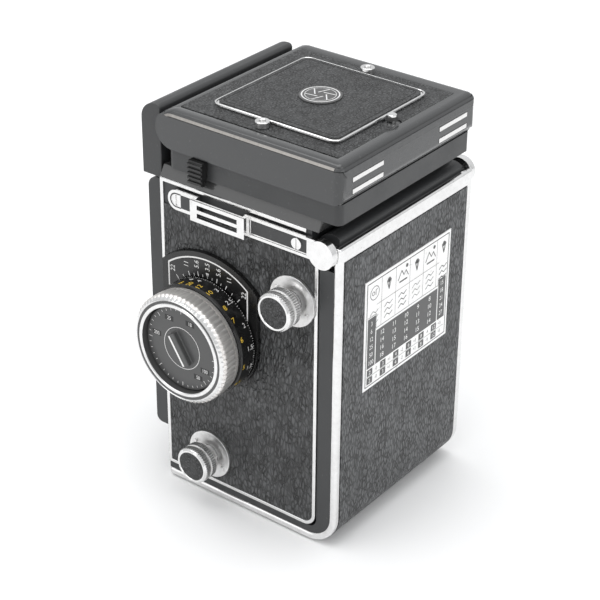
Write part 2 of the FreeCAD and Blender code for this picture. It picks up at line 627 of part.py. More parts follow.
def make_spool_knobs():
    for label, at in (("takeup", TAKEUP), ("supply", SUPPLY)):
        lathe(f"{label}_spindle", "X", (0, *at), steps((28.0, 33.0, 2.4), (33.0, 41.0, S["spindle"]),
                                                       (41.0, 46.0, 2.0)))
        bore = 2.0 + S["running"]
        profile = [(41.2, bore), (41.2, 5.2), (43.2, 6.2), (43.7, S["knob_round"]), (49.0, S["knob_round"]),
                   (S["knob_face"], S["knob_round"] - 0.5), (S["knob_face"], 0), (46.3, 0), (46.3, bore)]
        lathe(f"{label}_knob", "X", (0, *at), profile)


def make_takeup_spool():
    inner, outer = 31.4, 32.4
    reel = steps((-outer, -inner, S["spool_round"]), (-inner, inner, S["spool_core"]),
                 (inner, outer, S["spool_round"]), bore=2.8)
    lathe("takeup_spool", "X", (0, *TAKEUP), reel)


# --- lens board ---------------------------------------------------------------------------------

def make_lens_board():
    y, z = (S["board_front"], S["board_back"]), (S["board_low"], S["board_high"])
    outline = [(y[0], z[0]), (y[1], z[0]), (y[1], z[1]), (y[0], z[1])]
    span = (-S["board_half"], S["board_half"])
    rounds = [(dict(y=y[0], z=z[1]), 4.0), (dict(y=y[0], z=z[0]), 2.5)]
    blank = prism("board_blank", "YZ", outline, span, rounds)
    hollow = box("board_hollow", (-32.6, 32.6), (S["board_front"] + 2.5, -38), (21.4, 116.6))
    posts = [rod(f"board_post{number}", "Y", (side, S["wheel_z"]), S["post_round"], (-45, -27))
             for number, side in enumerate((-S["post_x"], S["post_x"]))]
    through = (S["board_front"] - 1, S["board_front"] + 3.5)
    holes = [rod(f"board_lens{number}", "Y", (0, height), 14.0, through)
             for number, height in enumerate((S["viewing_height"], S["taking_height"]))]
    holes += [rod(f"board_wheel{number}", "Y", (side, S["wheel_z"]), 1.5 + S["running"], through)
              for number, side in enumerate((-S["wheel_x"], S["wheel_x"]))]
    holes.append(rod("board_release", "Y", (S["button_x"], S["button_z"]), 2.0 + S["running"], through))
    holes.append(rod("board_sync", "Y", (S["sync_x"], S["sync_z"]), 2.5, through))
    join("lens_board", cut("board_shell", blank, hollow, *holes), *posts)


def make_lenses():
    """Each barrel is turned towards the subject, from behind the board to its filter ring."""
    board, tip = -S["board_front"], -S["barrel_tip"]
    mouth, glass, bore, bend = 15.2, 11.5, 10.0, 24
    for label, height in (("viewing", S["viewing_height"]), ("taking", S["taking_height"])):
        profile = [(34.0, bore), (34.0, 12.0), (board, 12.0), (board, S["barrel_out"]),
                   (tip, S["barrel_out"]), (tip, mouth), (tip - 4, mouth), (tip - 5, glass),
                   (tip - 9, glass), (tip - 9, bore)]
        lathe(f"{label}_barrel", "-Y", (0, 0, height), profile)
        crown = -tip + 5.2
        disc = rod(f"{label}_disc", "Y", (0, height), glass, (crown, -tip + 9))
        overlap(f"{label}_lens", disc, ball(f"{label}_curve", (0, crown + bend, height), bend))


def make_board_controls():
    front = -S["board_front"]
    for label, side in (("shutter", -S["wheel_x"]), ("aperture", S["wheel_x"])):
        lathe(f"{label}_wheel", "-Y", (side, 0, S["wheel_z"]),
              steps((front - 3, front + 0.2, 1.5), (front + 0.2, front + 3.6, S["wheel_round"]),
                    (front + 3.6, front + 4.4, S["wheel_round"] - 1)))
    lathe("release_button", "-Y", (S["button_x"], 0, S["button_z"]),
          steps((front - 3.5, front + 3.2, 2.0), (front + 3.2, front + 6.0, 3.6),
                (front + 6.0, front + 6.6, 3.0)))
    lathe("sync_socket", "-Y", (S["sync_x"], 0, S["sync_z"]),
          [(front - 2, 0), (front - 2, 2.5), (front, 2.5), (front, 4.2), (front + 1.2, 4.2),
           (front + 1.2, 3.0), (front + 4.5, 3.0), (front + 4.5, 1.6), (front + 1.5, 1.6),
           (front + 1.5, 0.5), (front + 3.8, 0.5), (front + 3.8, 0)])


# --- folding hood -------------------------------------------------------------------------------

def make_hood_base():
    x, y = (-S["base_half"], S["base_half"]), (S["base_front"], S["base_rear"])
    rounds = [(corner, 2.5) for corner in corners_of(x, y)]
    blank = slab("base_blank", x, y, (S["base_low"], S["base_high"]), rounds)
    well = box("base_well", (-31.6, 31.6), (-31.6, 30.6), (127.4, 134))
    eye = box("base_eye", (-29.6, 29.6), (S["well_front"] - 0.8, S["well_rear"] + 0.8), (125, 135))
    tray = cut("base_tray", blank, well, eye)
    ear_x = (33.8, 35.8)
    axis = (S["lid_axis_y"], S["lid_axis_z"])
    ear_half = 2.8
    ear = box("base_ear_post", ear_x, (axis[0] - ear_half, axis[0] + ear_half),
              (S["base_high"] - 1, axis[1]))
    eye_end = rod("base_ear_end", "X", axis, ear_half, ear_x)
    stub = rod("base_ear_pin", "X", axis, S["pin_round"], (35, 37.9))
    wire_at = (S["side_hinge_x"], S["side_hinge_z"])
    wire = rod("side_wire", "Y", wire_at, S["wire_round"], (-31.6, 32.0))
    stand_half = 0.9
    stands = [box(f"wire_post{number}", (wire_at[0] - stand_half, wire_at[0] + stand_half), (low, low + 1.2),
                  (S["base_high"] - 3, wire_at[1] + stand_half)) for number, low in enumerate((-31.6, 31.2))]
    side = join("base_side", ear, eye_end, stub, wire, *stands)
    rear_at = (S["rear_hinge_y"], S["rear_hinge_z"])
    rear_wire = rod("rear_wire", "X", rear_at, S["wire_round"], (-30.8, 30.8))
    rear_y = (rear_at[0] - stand_half, rear_at[0] + stand_half)
    rear_posts = [box(f"rear_post{number}", (side_x - 0.5, side_x + 0.5), rear_y,
                      (S["base_high"] - 1, rear_at[1] + stand_half))
                  for number, side_x in enumerate((-30.5, 30.5))]
    join("hood_base", tray, side, mirrored("base_far_side", side), rear_wire, *rear_posts)


def make_flaps():
    hinge_x, hinge_z = S["side_hinge_x"], S["side_hinge_z"]
    reach, front, back = S["side_reach"], S["side_front"], S["side_back"]
    tip = hinge_x - reach
    outline = [(hinge_x, front), (hinge_x, back), (tip, back), (tip, front + 12), (hinge_x - 17, front)]
    half = S["flap_thick"] * 0.5
    panel = prism("flap_panel", "XY", outline, (hinge_z - half, hinge_z + half))
    barrel = rod("flap_barrel", "Y", (hinge_x, hinge_z), S["flap_barrel"], (front, back))
    bore = rod("flap_bore", "Y", (hinge_x, hinge_z), S["wire_bore"], (-35, 35))
    left = cut("left_hood_flap", join("flap_blank", panel, barrel), bore)
    mirrored("right_hood_flap", left)
    rear_y, rear_z = S["rear_hinge_y"], S["rear_hinge_z"]
    tip = rear_y - S["rear_reach"]
    outline = [(-29.0, rear_y), (29.0, rear_y), (5.0, tip), (-5.0, tip)]
    panel = prism("rear_panel", "XY", outline, (rear_z - half, rear_z + half))
    barrel = rod("rear_barrel", "X", (rear_y, rear_z), S["flap_barrel"] - 0.1, (-29.0, 29.0))
    bore = rod("rear_bore", "X", (rear_y, rear_z), S["wire_bore"], (-35, 35))
    cut("rear_hood_flap", join("rear_blank", panel, barrel), bore)


def make_lid():
    half, wall = S["lid_half"], S["lid_wall"]
    front, rear, low, high = S["lid_front"], S["lid_rear"], S["lid_low"], S["lid_high"]
    nose = 6.85
    outline = [(front, low), (rear, low), (rear, high), (front, high)]
    rounds = [(dict(y=front, z=low), nose), (dict(y=front, z=high), nose), (dict(y=rear, z=high), 1.6)]
    outer = prism("lid_outer", "YZ", outline, (-half, half), rounds)
    ceiling = high - wall - 0.2
    inside = [(front + wall, low - 2), (rear - wall, low - 2), (rear - wall, ceiling),
              (front + wall, ceiling)]
    hollow = prism("lid_inside", "YZ", inside, (wall - half, half - wall),
                   [(dict(y=front + wall, z=ceiling), nose - wall)])
    recess = box("lid_recess", (-S["recess_half"], S["recess_half"]), (S["recess_front"], S["recess_rear"]),
                 (S["leather_low"], 150))
    slots = [box(f"lid_ear_slot{number}", (centre - 2.1, centre + 2.1), (front - 1, -28.9), (low - 1, 143.7))
             for number, centre in enumerate((-34.0, 34.0))]
    through = (S["lid_void"], 150)
    window_x, window_y = (-23, 23), (-22.7, 23.3)
    button_at = (0, S["lid_button_y"])
    window = box("lid_window", window_x, window_y, through)
    pins = rod("lid_pin_holes", "X", (S["lid_axis_y"], S["lid_axis_z"]), S["pin_round"] + S["running"],
               (-38.1, 38.1))
    button = rod("lid_button_hole", "Z", button_at, 1.5 + S["running"], through)
    cut("hood_lid", outer, hollow, recess, *slots, window, pins, button)

    sheet = box("lid_sheet", (-S["recess_half"], S["recess_half"]), (S["recess_front"], S["recess_rear"]),
                (S["leather_low"], S["leather_top"]))
    sheet_window = box("sheet_window", window_x, window_y, through)
    sheet_button = rod("sheet_button", "Z", button_at, 3.3, through)
    pad = finder_slab("finder_pad", 0.8, (S["finder_plate"], S["finder_top"]), 3.4)
    group("lid_leather", cut("lid_sheet_cut", sheet, sheet_window, sheet_button), pad)
    finder_slab("finder_flap", 0, (S["leather_top"], S["finder_plate"]), 4.0)
    rod("lid_badge", "Z", (0, S["finder_y"]), 7.4, (S["finder_top"], S["finder_top"] + 0.5))


def finder_slab(name, inset, z, radius):
    """A square plate over the direct finder, inset from its edge."""
    x = (inset - S["finder_half"], S["finder_half"] - inset)
    y = (S["finder_y"] - S["finder_half"] + inset, S["finder_y"] + S["finder_half"] - inset)
    return slab(name, x, y, z, [(corner, radius) for corner in corners_of(x, y)])


def make_lid_fittings():
    stripes = [box(f"stripe{number}", (16.0, 32.5), (S["lid_rear"], S["lid_rear"] + 0.15), (top - 1.5, top))
               for number, top in enumerate((141.8, 137.7))]
    both_sides("lid_stripes", group("stripe_pair", *stripes))
    ring_at = (29, -1.3)
    ring = rod("ring_head", "Z", ring_at, 2.5, (S["leather_top"], 149.4))
    hole = rod("ring_hole", "Z", ring_at, 1.1, (148.2, 151))
    both_sides("lid_screws", cut("ring_screw", ring, hole))
    lathe("finder_button", "-Z", (0, S["lid_button_y"], 0),
          steps((-150.0, -149.3, 1.9), (-149.3, -148.2, 2.3), (-148.2, -143.4, 1.5)))
    centre, loupe_round = (0, 5.9), 10.4
    ring = rod("loupe_ring", "Z", centre, 12.0, (141.6, 145.2))
    bore = rod("loupe_bore", "Z", centre, loupe_round, (141, 146))
    arm = box("loupe_arm", (-3, 3), (17.0, 27.6), (144.2, S["lid_high"] - S["lid_wall"] - 0.2))
    cut("magnifier_frame", join("loupe_blank", ring, arm), bore)
    crown, bend = 144.6, 34
    disc = rod("loupe_disc", "Z", centre, loupe_round, (142.2, crown))
    overlap("magnifier_lens", disc, ball("loupe_curve", (*centre, crown - bend), bend))


def make_hood_latches():
    y = (S["latch_front"], S["latch_rear"])
    upper = box("latch_upper", (37.7, S["latch_out"] - 0.7), y, (126.3, 133.0))
    lower = box("latch_lower", (38.8, S["latch_out"] - 0.7), y, (124.5, 127.0))
    first_rib, pitch, rib = 125.0, 1.6, 0.8
    ribs = [box(f"latch_rib{number}", (40, S["latch_out"]), y,
                (first_rib + pitch * number, first_rib + pitch * number + rib)) for number in range(5)]
    near = join("left_hood_latch", upper, lower, *ribs)
    mirrored("right_hood_latch", near)


NODES = """
body_casting film_gate reflex_mirror upper_roller lower_roller focusing_screen body_leather
side_trims top_deck strap_lugs lug_screws focus_scale_plate spool_flanges crank_plate counter_window
crank_arm crank_handle meter_housing meter_window back_trim back_cover back_leather exposure_table
back_hinge_pin tripod_socket back_feet pressure_plate back_latch distance_dial focus_knob
reminder_dial takeup_spindle takeup_knob supply_spindle supply_knob takeup_spool lens_board
viewing_barrel viewing_lens taking_barrel taking_lens shutter_wheel aperture_wheel release_button
sync_socket hood_base left_hood_flap right_hood_flap rear_hood_flap hood_lid lid_leather finder_flap
lid_badge lid_stripes lid_screws finder_button magnifier_frame magnifier_lens left_hood_latch
right_hood_latch
""".split()


def build():
    """Make every piece."""
    for step in (make_body_casting, make_film_gate, make_mirror, make_rollers, make_screen, make_leather,
                 make_side_trims, make_top_deck, make_strap_lugs, make_focus_scale, make_spool_flanges,
                 make_crank_side, make_meter_housing, make_back, make_back_fittings, make_focus_drive,
                 make_spool_knobs, make_takeup_spool, make_lens_board, make_lenses, make_board_controls,
                 make_hood_base, make_flaps, make_lid, make_lid_fittings, make_hood_latches):
        step()
    DOC.recompute()


def check_and_write():
    """Stop on any failed object or bad shape, then write one STEP file for each piece."""
    for item in DOC.Objects:
        if "Invalid" in item.State or "Error" in item.State:
            raise RuntimeError(f"{item.Name} failed: {item.State}")
    pieces = [DOC.getObject(name) for name in NODES]
    for piece in pieces:
        if piece.Shape.isNull() or not piece.Shape.isValid() or not piece.Shape.Solids:
            raise RuntimeError(f"{piece.Name} has no valid shape")
    os.makedirs("parts", exist_ok=True)
    for piece in pieces:
        piece.Shape.exportStep(f"parts/{piece.Label}.step")
        bounds = piece.Shape.BoundBox
        print(f"{piece.Label:18} solids {len(piece.Shape.Solids)} volume {piece.Shape.Volume:9.1f} "
              f"z {bounds.ZMin:6.1f}..{bounds.ZMax:6.1f}")


build()
check_and_write()
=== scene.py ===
import json
import math

import bmesh
import bpy
from mathutils import Matrix, Vector

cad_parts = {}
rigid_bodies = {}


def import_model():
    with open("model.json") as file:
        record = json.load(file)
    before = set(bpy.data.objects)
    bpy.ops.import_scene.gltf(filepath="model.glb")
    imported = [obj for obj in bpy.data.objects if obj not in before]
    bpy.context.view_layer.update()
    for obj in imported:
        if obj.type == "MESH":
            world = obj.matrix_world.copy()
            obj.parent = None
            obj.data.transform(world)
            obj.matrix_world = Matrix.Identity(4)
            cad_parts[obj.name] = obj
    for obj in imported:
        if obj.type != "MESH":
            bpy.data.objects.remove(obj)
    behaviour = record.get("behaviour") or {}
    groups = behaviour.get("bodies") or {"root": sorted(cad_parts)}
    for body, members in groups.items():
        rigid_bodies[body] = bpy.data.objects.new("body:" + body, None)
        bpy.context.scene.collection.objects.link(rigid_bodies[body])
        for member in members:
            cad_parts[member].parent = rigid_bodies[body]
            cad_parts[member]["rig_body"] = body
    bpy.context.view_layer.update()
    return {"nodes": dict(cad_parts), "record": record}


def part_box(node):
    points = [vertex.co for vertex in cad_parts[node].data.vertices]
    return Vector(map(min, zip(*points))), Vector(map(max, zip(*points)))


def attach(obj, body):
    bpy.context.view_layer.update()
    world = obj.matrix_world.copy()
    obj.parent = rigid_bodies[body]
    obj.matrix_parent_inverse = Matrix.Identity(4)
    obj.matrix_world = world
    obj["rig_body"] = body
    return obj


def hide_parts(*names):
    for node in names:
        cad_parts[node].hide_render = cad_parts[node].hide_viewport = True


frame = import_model()

# Lengths in the dictionaries are millimetres in the row frame; meshes are made in metres.
millimetre = 0.001
slotOf = {row["node"]: row["material_slot"] for row in frame["record"]["subparts"]}
bodyOf = {name: item["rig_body"] for name, item in frame["nodes"].items()}
finish = {}


def smoothed(mesh, angle=35):
    mesh.polygons.foreach_set("use_smooth", [True] * len(mesh.polygons))
    mesh.set_sharp_from_angle(angle=math.radians(angle))
    return mesh


def meshFrom(name, points, faces, marks=None, angle=35, weld=True):
    mesh = bpy.data.meshes.new(name)
    mesh.from_pydata([Vector(point) * millimetre for point in points], [], faces)
    if marks:
        mesh.polygons.foreach_set("material_index", marks)
    work = bmesh.new()
    work.from_mesh(mesh)
    if weld:
        bmesh.ops.remove_doubles(work, verts=work.verts, dist=2e-7)
        bmesh.ops.recalc_face_normals(work, faces=work.faces)
    work.to_mesh(mesh)
    work.free()
    return smoothed(mesh, angle)


def addPiece(name, mesh, materials, body, slotName, stands=()):
    piece = bpy.data.objects.new(name, mesh)
    bpy.context.scene.collection.objects.link(piece)
    for material in materials:
        mesh.materials.append(finish[material])
    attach(piece, body)
    if stands:
        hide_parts(*stands)
    return piece


def dress(node, material):
    # a CAD node that keeps its own mesh
    mesh = frame["nodes"][node].data
    mesh.materials.clear()
    mesh.materials.append(finish[material])


def rounded(mesh, width, segments, angle=32):
    # edges rounded by width, with normals that keep the flat faces flat
    holder = bpy.data.objects.new("holder", mesh)
    bpy.context.scene.collection.objects.link(holder)
    bevel = holder.modifiers.new("bevel", "BEVEL")
    bevel.width = width * millimetre
    bevel.segments = segments
    bevel.limit_method = "ANGLE"
    bevel.angle_limit = math.radians(angle)
    weigh = holder.modifiers.new("weigh", "WEIGHTED_NORMAL")
    weigh.keep_sharp = True
    evaluated = holder.evaluated_get(bpy.context.evaluated_depsgraph_get())
    result = bpy.data.meshes.new_from_object(evaluated)
    bpy.data.objects.remove(holder)
    return result


def refine(node, width, materials, segments=2, edit=None):
    # a replacement for a CAD node: its own shape with rounded edges
    source = frame["nodes"][node].data
    mesh = bpy.data.meshes.new(node)
    mesh.from_pydata([v.co.copy() for v in source.vertices], [], [list(p.vertices) for p in source.polygons])
    work = bmesh.new()
    work.from_mesh(mesh)
    bmesh.ops.remove_doubles(work, verts=work.verts, dist=2e-6)
    bmesh.ops.dissolve_limit(work, angle_limit=math.radians(0.5), verts=work.verts, edges=work.edges)
    if edit:
        edit(work)
    work.to_mesh(mesh)
    work.free()
    smoothed(mesh, 30)
    mesh = rounded(mesh, width, segments) if width else mesh
    mesh.name = node + "_shown"
    return addPiece(mesh.name, mesh, materials, bodyOf[node], slotOf[node], [node])


def lathe(name, start, axis, profile, around=96, ripple=None, marks=None):
    # profile gives (distance along the axis, radius); ripple(ring, turn) adds to the radius
    forward = Vector(axis)
    side = Vector((0, 1, 0)) if abs(forward.x) > 0.5 else Vector((1, 0, 0))
    other = forward.cross(side)
    points, faces, faceMarks = [], [], []
    for ring, (distance, radius) in enumerate(profile):
        for step in range(around):
            turn = step / around
            reach = radius + (ripple(ring, turn) if ripple and radius > 0 else 0)
            spoke = side * math.cos(2 * math.pi * turn) + other * math.sin(2 * math.pi * turn)
            points.append(Vector(start) + forward * distance + spoke * reach)
    for ring in range(len(profile) - 1):
        for step in range(around):
            after = (step + 1) % around
            low, high = ring * around, (ring + 1) * around
            faces.append((low + step, low + after, high + after, high + step))
            faceMarks.append(marks[ring] if marks else 0)
    return meshFrom(name, points, faces, faceMarks, 30)


def sweep(name, stations, profile, marks):
    # stations are functions that put a profile point (inward, up) in place
    count = len(profile)
    points = [put(d, h) for put in stations for d, h in profile]
    faces, faceMarks = [], []
    for index in range(len(stations) - 1):
        here, there = index * count, (index + 1) * count
        for step in range(count - 1):
            faces.append((here + step, here + step + 1, there + step + 1, there + step))
            faceMarks.append(marks(index, step))
    faces += [tuple(range(count)), tuple(range((len(stations) - 1) * count, len(stations) * count))]
    faceMarks += [0, 0]
    return meshFrom(name, points, faces, faceMarks, 30)


def wireRing(name, path, height, thick, sides=10):
    # a round wire along a closed level path
    points, faces = [], []
    count = len(path)
    for index, here in enumerate(path):
        run = (Vector(path[(index + 1) % count]) - Vector(path[index - 1])).normalized()
        for step in range(sides):
            a = 2 * math.pi * step / sides
            out = thick * math.cos(a)
            points.append((here[0] + run.y * out, here[1] - run.x * out, height + thick * math.sin(a)))
            after = (index + 1) % count
            faces.append((index * sides + step, index * sides + (step + 1) % sides,
                          after * sides + (step + 1) % sides, after * sides + step))
    return meshFrom(name, points, faces)


def roundedPath(low, high, corner, steps=7):
    # a level rectangle with round corners, as (x, y) points
    path = []
    for x, y, first in ((high.x, high.y, 0), (low.x, high.y, 90), (low.x, low.y, 180), (high.x, low.y, 270)):
        x -= math.copysign(corner, x - (low.x + high.x) / 2)
        y -= math.copysign(corner, y - (low.y + high.y) / 2)
        for step in range(steps):
            a = math.radians(first + 90 * step / (steps - 1))
            path.append((x + corner * math.cos(a), y + corner * math.sin(a)))
    return path


glyphStore = {}


def glyphs(text):
    # faces of a text of height 1, centred
    if text not in glyphStore:
        curve = bpy.data.curves.new("figures", "FONT")
        curve.body = text
        curve.align_x = "CENTER"
        curve.resolution_u = 3
        holder = bpy.data.objects.new("figures", curve)
        mesh = bpy.data.meshes.new_from_object(holder)
        points = [(v.co.x / 0.7, v.co.y / 0.7 - 0.5) for v in mesh.vertices]
        glyphStore[text] = (points, [list(p.vertices) for p in mesh.polygons])
        bpy.data.meshes.remove(mesh)
        bpy.data.objects.remove(holder)
    return glyphStore[text]


class Ink:
    # flat print in a plane (u, v), laid on a surface by place()
    def __init__(self):
        self.points, self.faces, self.marks = [], [], []

    def take(self, points, faces, mark, lift):
        base = len(self.points)
        self.points += [(u, v, lift) for u, v in points]
        self.faces += [[base + index for index in face] for face in faces]
        self.marks += [mark] * len(faces)

    def text(self, text, u, v, height, turn=0.0, mark=0, lift=0.03, squeeze=1.0):
        points, faces = glyphs(text)
        c, s = math.cos(math.radians(turn)), math.sin(math.radians(turn))
        spots = []
        for x, y in points:
            x, y = x * height * squeeze, y * height
            spots.append((u + x * c - y * s, v + x * s + y * c))
        self.take(spots, faces, mark, lift)

    def stroke(self, path, width, mark=0, lift=0.03, closed=False):
        count = len(path)
        left, right = [], []
        for index in range(count):
            before = path[(index - 1) % count] if closed or index else path[index]
            after = path[(index + 1) % count] if closed or index < count - 1 else path[index]
            here = Vector(path[index])
            first = (here - Vector(before)).normalized() if here != Vector(before) else None
            second = (Vector(after) - here).normalized() if here != Vector(after) else None
            run = ((first or second) + (second or first)).normalized()
            bend = max(0.5, run.dot(first or second))
            out = Vector((-run.y, run.x)) * (width / 2 / bend)
            left.append(tuple(here + out))
            right.append(tuple(here - out))
        faces = [(i, (i + 1) % count, count + (i + 1) % count, count + i)
                 for i in range(count if closed else count - 1)]
        self.take(left + right, faces, mark, lift)

    def box(self, u0, v0, u1, v1, mark=0, lift=0.02):
        self.take([(u0, v0), (u1, v0), (u1, v1), (u0, v1)], [(0, 1, 2, 3)], mark, lift)

    def disc(self, u, v, radius, mark=0, lift=0.03, inner=0.0, sides=32):
        turns = [2 * math.pi * step / sides for step in range(sides)]
        outer = [(u + radius * math.cos(t), v + radius * math.sin(t)) for t in turns]
        if not inner:
            self.take(outer, [tuple(range(sides))], mark, lift)
            return
        hole = [(u + inner * math.cos(t), v + inner * math.sin(t)) for t in turns]
        faces = [(i, (i + 1) % sides, sides + (i + 1) % sides, sides + i) for i in range(sides)]
        self.take(outer + hole, faces, mark, lift)

    def place(self, name, put, materials, body, slotName):
        mesh = meshFrom(name, [put(u, v, w) for u, v, w in self.points], self.faces, self.marks, weld=False)
        return addPiece(name, mesh, materials, body, slotName)


def feed(tree, node, values):
    # a socket is linked, anything else becomes the input's constant
    for key, value in values.items():
        if isinstance(value, bpy.types.NodeSocket):
            tree.links.new(value, node.inputs[key])
        else:
            node.inputs[key].default_value = value


def addNode(tree, kind, values=None, **settings):
    node = tree.nodes.new("ShaderNode" + kind)
    for key, value in settings.items():
        setattr(node, key, value)
    feed(tree, node, values or {})
    return node


def calc(tree, operation, first, second=0.0, clamp=False):
    node = addNode(tree, "Math", {0: first, 1: second}, operation=operation, use_clamp=clamp)
    return node.outputs[0]


def spread(tree, value, low, high, toLow=0.0, toHigh=1.0):
    links = {"Value": value, "From Min": low, "From Max": high, "To Min": toLow, "To Max": toHigh}
    return addNode(tree, "MapRange", links).outputs[0]


def shaderGroup(name, inputs, outputs, build):
    tree = bpy.data.node_groups.new(name, "ShaderNodeTree")
    for label, kind, value in inputs:
        socket = tree.interface.new_socket(label, in_out="INPUT", socket_type="NodeSocket" + kind)
        if value is not None:
            socket.default_value = value
    for label, kind in outputs:
        tree.interface.new_socket(label, in_out="OUTPUT", socket_type="NodeSocket" + kind)
    entry = tree.nodes.new("NodeGroupInput")
    leave = tree.nodes.new("NodeGroupOutput")
    for label, socket in build(tree, entry.outputs).items():
        tree.links.new(socket, leave.inputs[label])
    return tree


def buildMottle(tree, given):
    noise = addNode(tree, "TexNoise", {"Vector": given["Vector"], "Scale": given["Scale"], "Detail": 6.0,
                                       "Roughness": 0.62})
    return {"Value": spread(tree, noise.outputs[0], 0.3, 0.7, given["Low"], given["High"])}


def buildWear(tree, given):
    # lighter rounded edges: rubbed paint and a painted highlight together, where edges catch the light
    soft = addNode(tree, "Bevel", {"Radius": given["Radius"]}, samples=4)
    real = addNode(tree, "NewGeometry")
    dot = addNode(tree, "VectorMath", {0: soft.outputs[0], 1: real.outputs["Normal"]},
                  operation="DOT_PRODUCT")
    edge = calc(tree, "MULTIPLY", calc(tree, "SUBTRACT", 1.0, dot.outputs["Value"]), 9.0, True)
    noise = addNode(tree, "TexNoise", {"Vector": given["Vector"], "Scale": 420.0, "Detail": 5.0})
    broken = calc(tree, "MULTIPLY", edge, spread(tree, noise.outputs[0], 0.42, 0.62))
    return {"Mask": calc(tree, "MULTIPLY", broken, given["Amount"], True)}


def buildGrain(tree, given):
    # pebbles pulled out along Z with broken cracks between them, over long soft folds
    longer = addNode(tree, "CombineXYZ", {"X": 1.0, "Y": 1.0, "Z": given["Squash"]})
    drawn = addNode(tree, "VectorMath", {0: given["Vector"], 1: longer.outputs[0]}, operation="MULTIPLY")
    wobble = addNode(tree, "TexNoise", {"Vector": drawn.outputs[0], "Scale": given["Scale"], "Detail": 2.0})
    shift = addNode(tree, "VectorMath", {0: wobble.outputs["Color"], "Scale": 0.0009}, operation="SCALE")
    moved = addNode(tree, "VectorMath", {0: drawn.outputs[0], 1: shift.outputs[0]})
    cells = addNode(tree, "TexVoronoi", {"Vector": moved.outputs[0], "Scale": given["Scale"]},
                    feature="DISTANCE_TO_EDGE")
    pebble = spread(tree, cells.outputs["Distance"], 0.0, 0.26)
    wide = calc(tree, "MULTIPLY", given["Scale"], 0.45)
    folds = addNode(tree, "TexNoise", {"Vector": moved.outputs[0], "Scale": wide, "Detail": 2.0})
    broken = spread(tree, folds.outputs[0], 0.38, 0.62, 0.25, 1.0)
    crack = calc(tree, "MULTIPLY", calc(tree, "SUBTRACT", 1.0, pebble), broken)
    cut = calc(tree, "MULTIPLY", crack, given["Wrinkle"], True)
    fine = addNode(tree, "TexNoise", {"Vector": given["Vector"], "Scale": 3200.0, "Detail": 2.0})
    swell = calc(tree, "MULTIPLY", folds.outputs[0], 0.7)
    top = calc(tree, "ADD", swell, calc(tree, "MULTIPLY", fine.outputs[0], 0.15))
    # the crack mask also darkens the leather's colour as painted shade, and the pebble mask lightens the
    # pebble tops as painted highlight
    return {"Height": calc(tree, "SUBTRACT", top, cut), "CreaseShade": cut, "PebbleSheen": pebble}


def buildStreaks(tree, given):
    drawn = addNode(tree, "VectorMath", {0: given["Vector"], 1: given["Squeeze"]}, operation="MULTIPLY")
    noise = addNode(tree, "TexNoise", {"Vector": drawn.outputs[0], "Scale": 1.0, "Detail": 4.0,
                                       "Roughness": 0.7})
    return {"Value": spread(tree, noise.outputs[0], 0.3, 0.7)}


def buildSpecks(tree, given):
    noise = addNode(tree, "TexNoise", {"Vector": given["Vector"], "Scale": given["Scale"], "Detail": 3.0})
    return {"Mask": calc(tree, "MULTIPLY", spread(tree, noise.outputs[0], 0.66, 0.76), given["Amount"], True)}


mottleGroup = shaderGroup("surfaceMottle", [("Vector", "Vector", None), ("Scale", "Float", 60.0),
                                            ("Low", "Float", 0.3), ("High", "Float", 0.5)],
                          [("Value", "Float")], buildMottle)
wearSheenGroup = shaderGroup("edgeWearSheen", [("Vector", "Vector", None), ("Radius", "Float", 0.0006),
                                     ("Amount", "Float", 0.5)], [("Mask", "Float")], buildWear)
grainGroup = shaderGroup("leatherGrain", [("Vector", "Vector", None), ("Scale", "Float", 900.0),
                                          ("Squash", "Float", 0.5), ("Wrinkle", "Float", 0.6)],
                         [("Height", "Float"), ("CreaseShade", "Float"), ("PebbleSheen", "Float")], buildGrain)
streakGroup = shaderGroup("brushStreaks", [("Vector", "Vector", None), ("Squeeze", "Vector", (900, 900, 40))],
                          [("Value", "Float")], buildStreaks)
speckGroup = shaderGroup("fineSpecks", [("Vector", "Vector", None), ("Scale", "Float", 1500.0),
                                        ("Amount", "Float", 0.4)], [("Mask", "Float")], buildSpecks)


def groupNode(tree, group, values):
    return addNode(tree, "Group", values, node_tree=group)


def mixed(tree, factor, first, second):
    node = addNode(tree, "Mix", {0: factor, 6: first, 7: second}, data_type="RGBA")
    return node.outputs[2]


def bumped(tree, height, distance, strength=1.0):
    return addNode(tree, "Bump", {"Height": height, "Distance": distance, "Strength": strength}).outputs[0]


def newMaterial(name):
    item = bpy.data.materials.new(name)
    item.use_nodes = True
    tree = item.node_tree
    tree.nodes.clear()
    shader = addNode(tree, "BsdfPrincipled")
    out = addNode(tree, "OutputMaterial")
    tree.links.new(shader.outputs[0], out.inputs[0])
    point = addNode(tree, "TexCoord").outputs["Object"]
    finish[name] = item
    return tree, shader, point


def grey(value, warm=0.0):
    return (value * (1 + warm), value, value * (1 - warm), 1.0)


def leather(name, dark, light, scale, squash, wrinkle, depth, rough):
    tree, shader, point = newMaterial(name)
    grain = groupNode(tree, grainGroup, {"Vector": point, "Scale": scale, "Squash": squash,
                                         "Wrinkle": wrinkle})
    mottle = groupNode(tree, mottleGroup, {"Vector": point, "Scale": 55.0, "Low": 0.35, "High": 1.0})
    wearSheen = groupNode(tree, wearSheenGroup, {"Vector": point, "Radius": 0.0005, "Amount": 0.5})
    # painted highlight: pebble tops are mixed towards the lighter colour
    tone = mixed(tree, calc(tree, "MULTIPLY", grain.outputs["PebbleSheen"], mottle.outputs[0]), grey(dark, -0.03),
                 grey(light, -0.03))
    # painted shade: the cracks between the pebbles are mixed towards near-black
    tone = mixed(tree, grain.outputs["CreaseShade"], tone, grey(dark * 0.25))
    # rounded edges lighter: rubbed leather and painted highlight together
    tone = mixed(tree, wearSheen.outputs[0], tone, grey(light * 2.0))
    roughness = spread(tree, calc(tree, "ADD", grain.outputs["PebbleSheen"], mottle.outputs[0]), 0.0, 2.0,
                       rough + 0.2, rough)
    feed(tree, shader, {"Base Color": tone, "Roughness": roughness, "Specular IOR Level": 0.5,
                        "Normal": bumped(tree, grain.outputs["Height"], depth)})


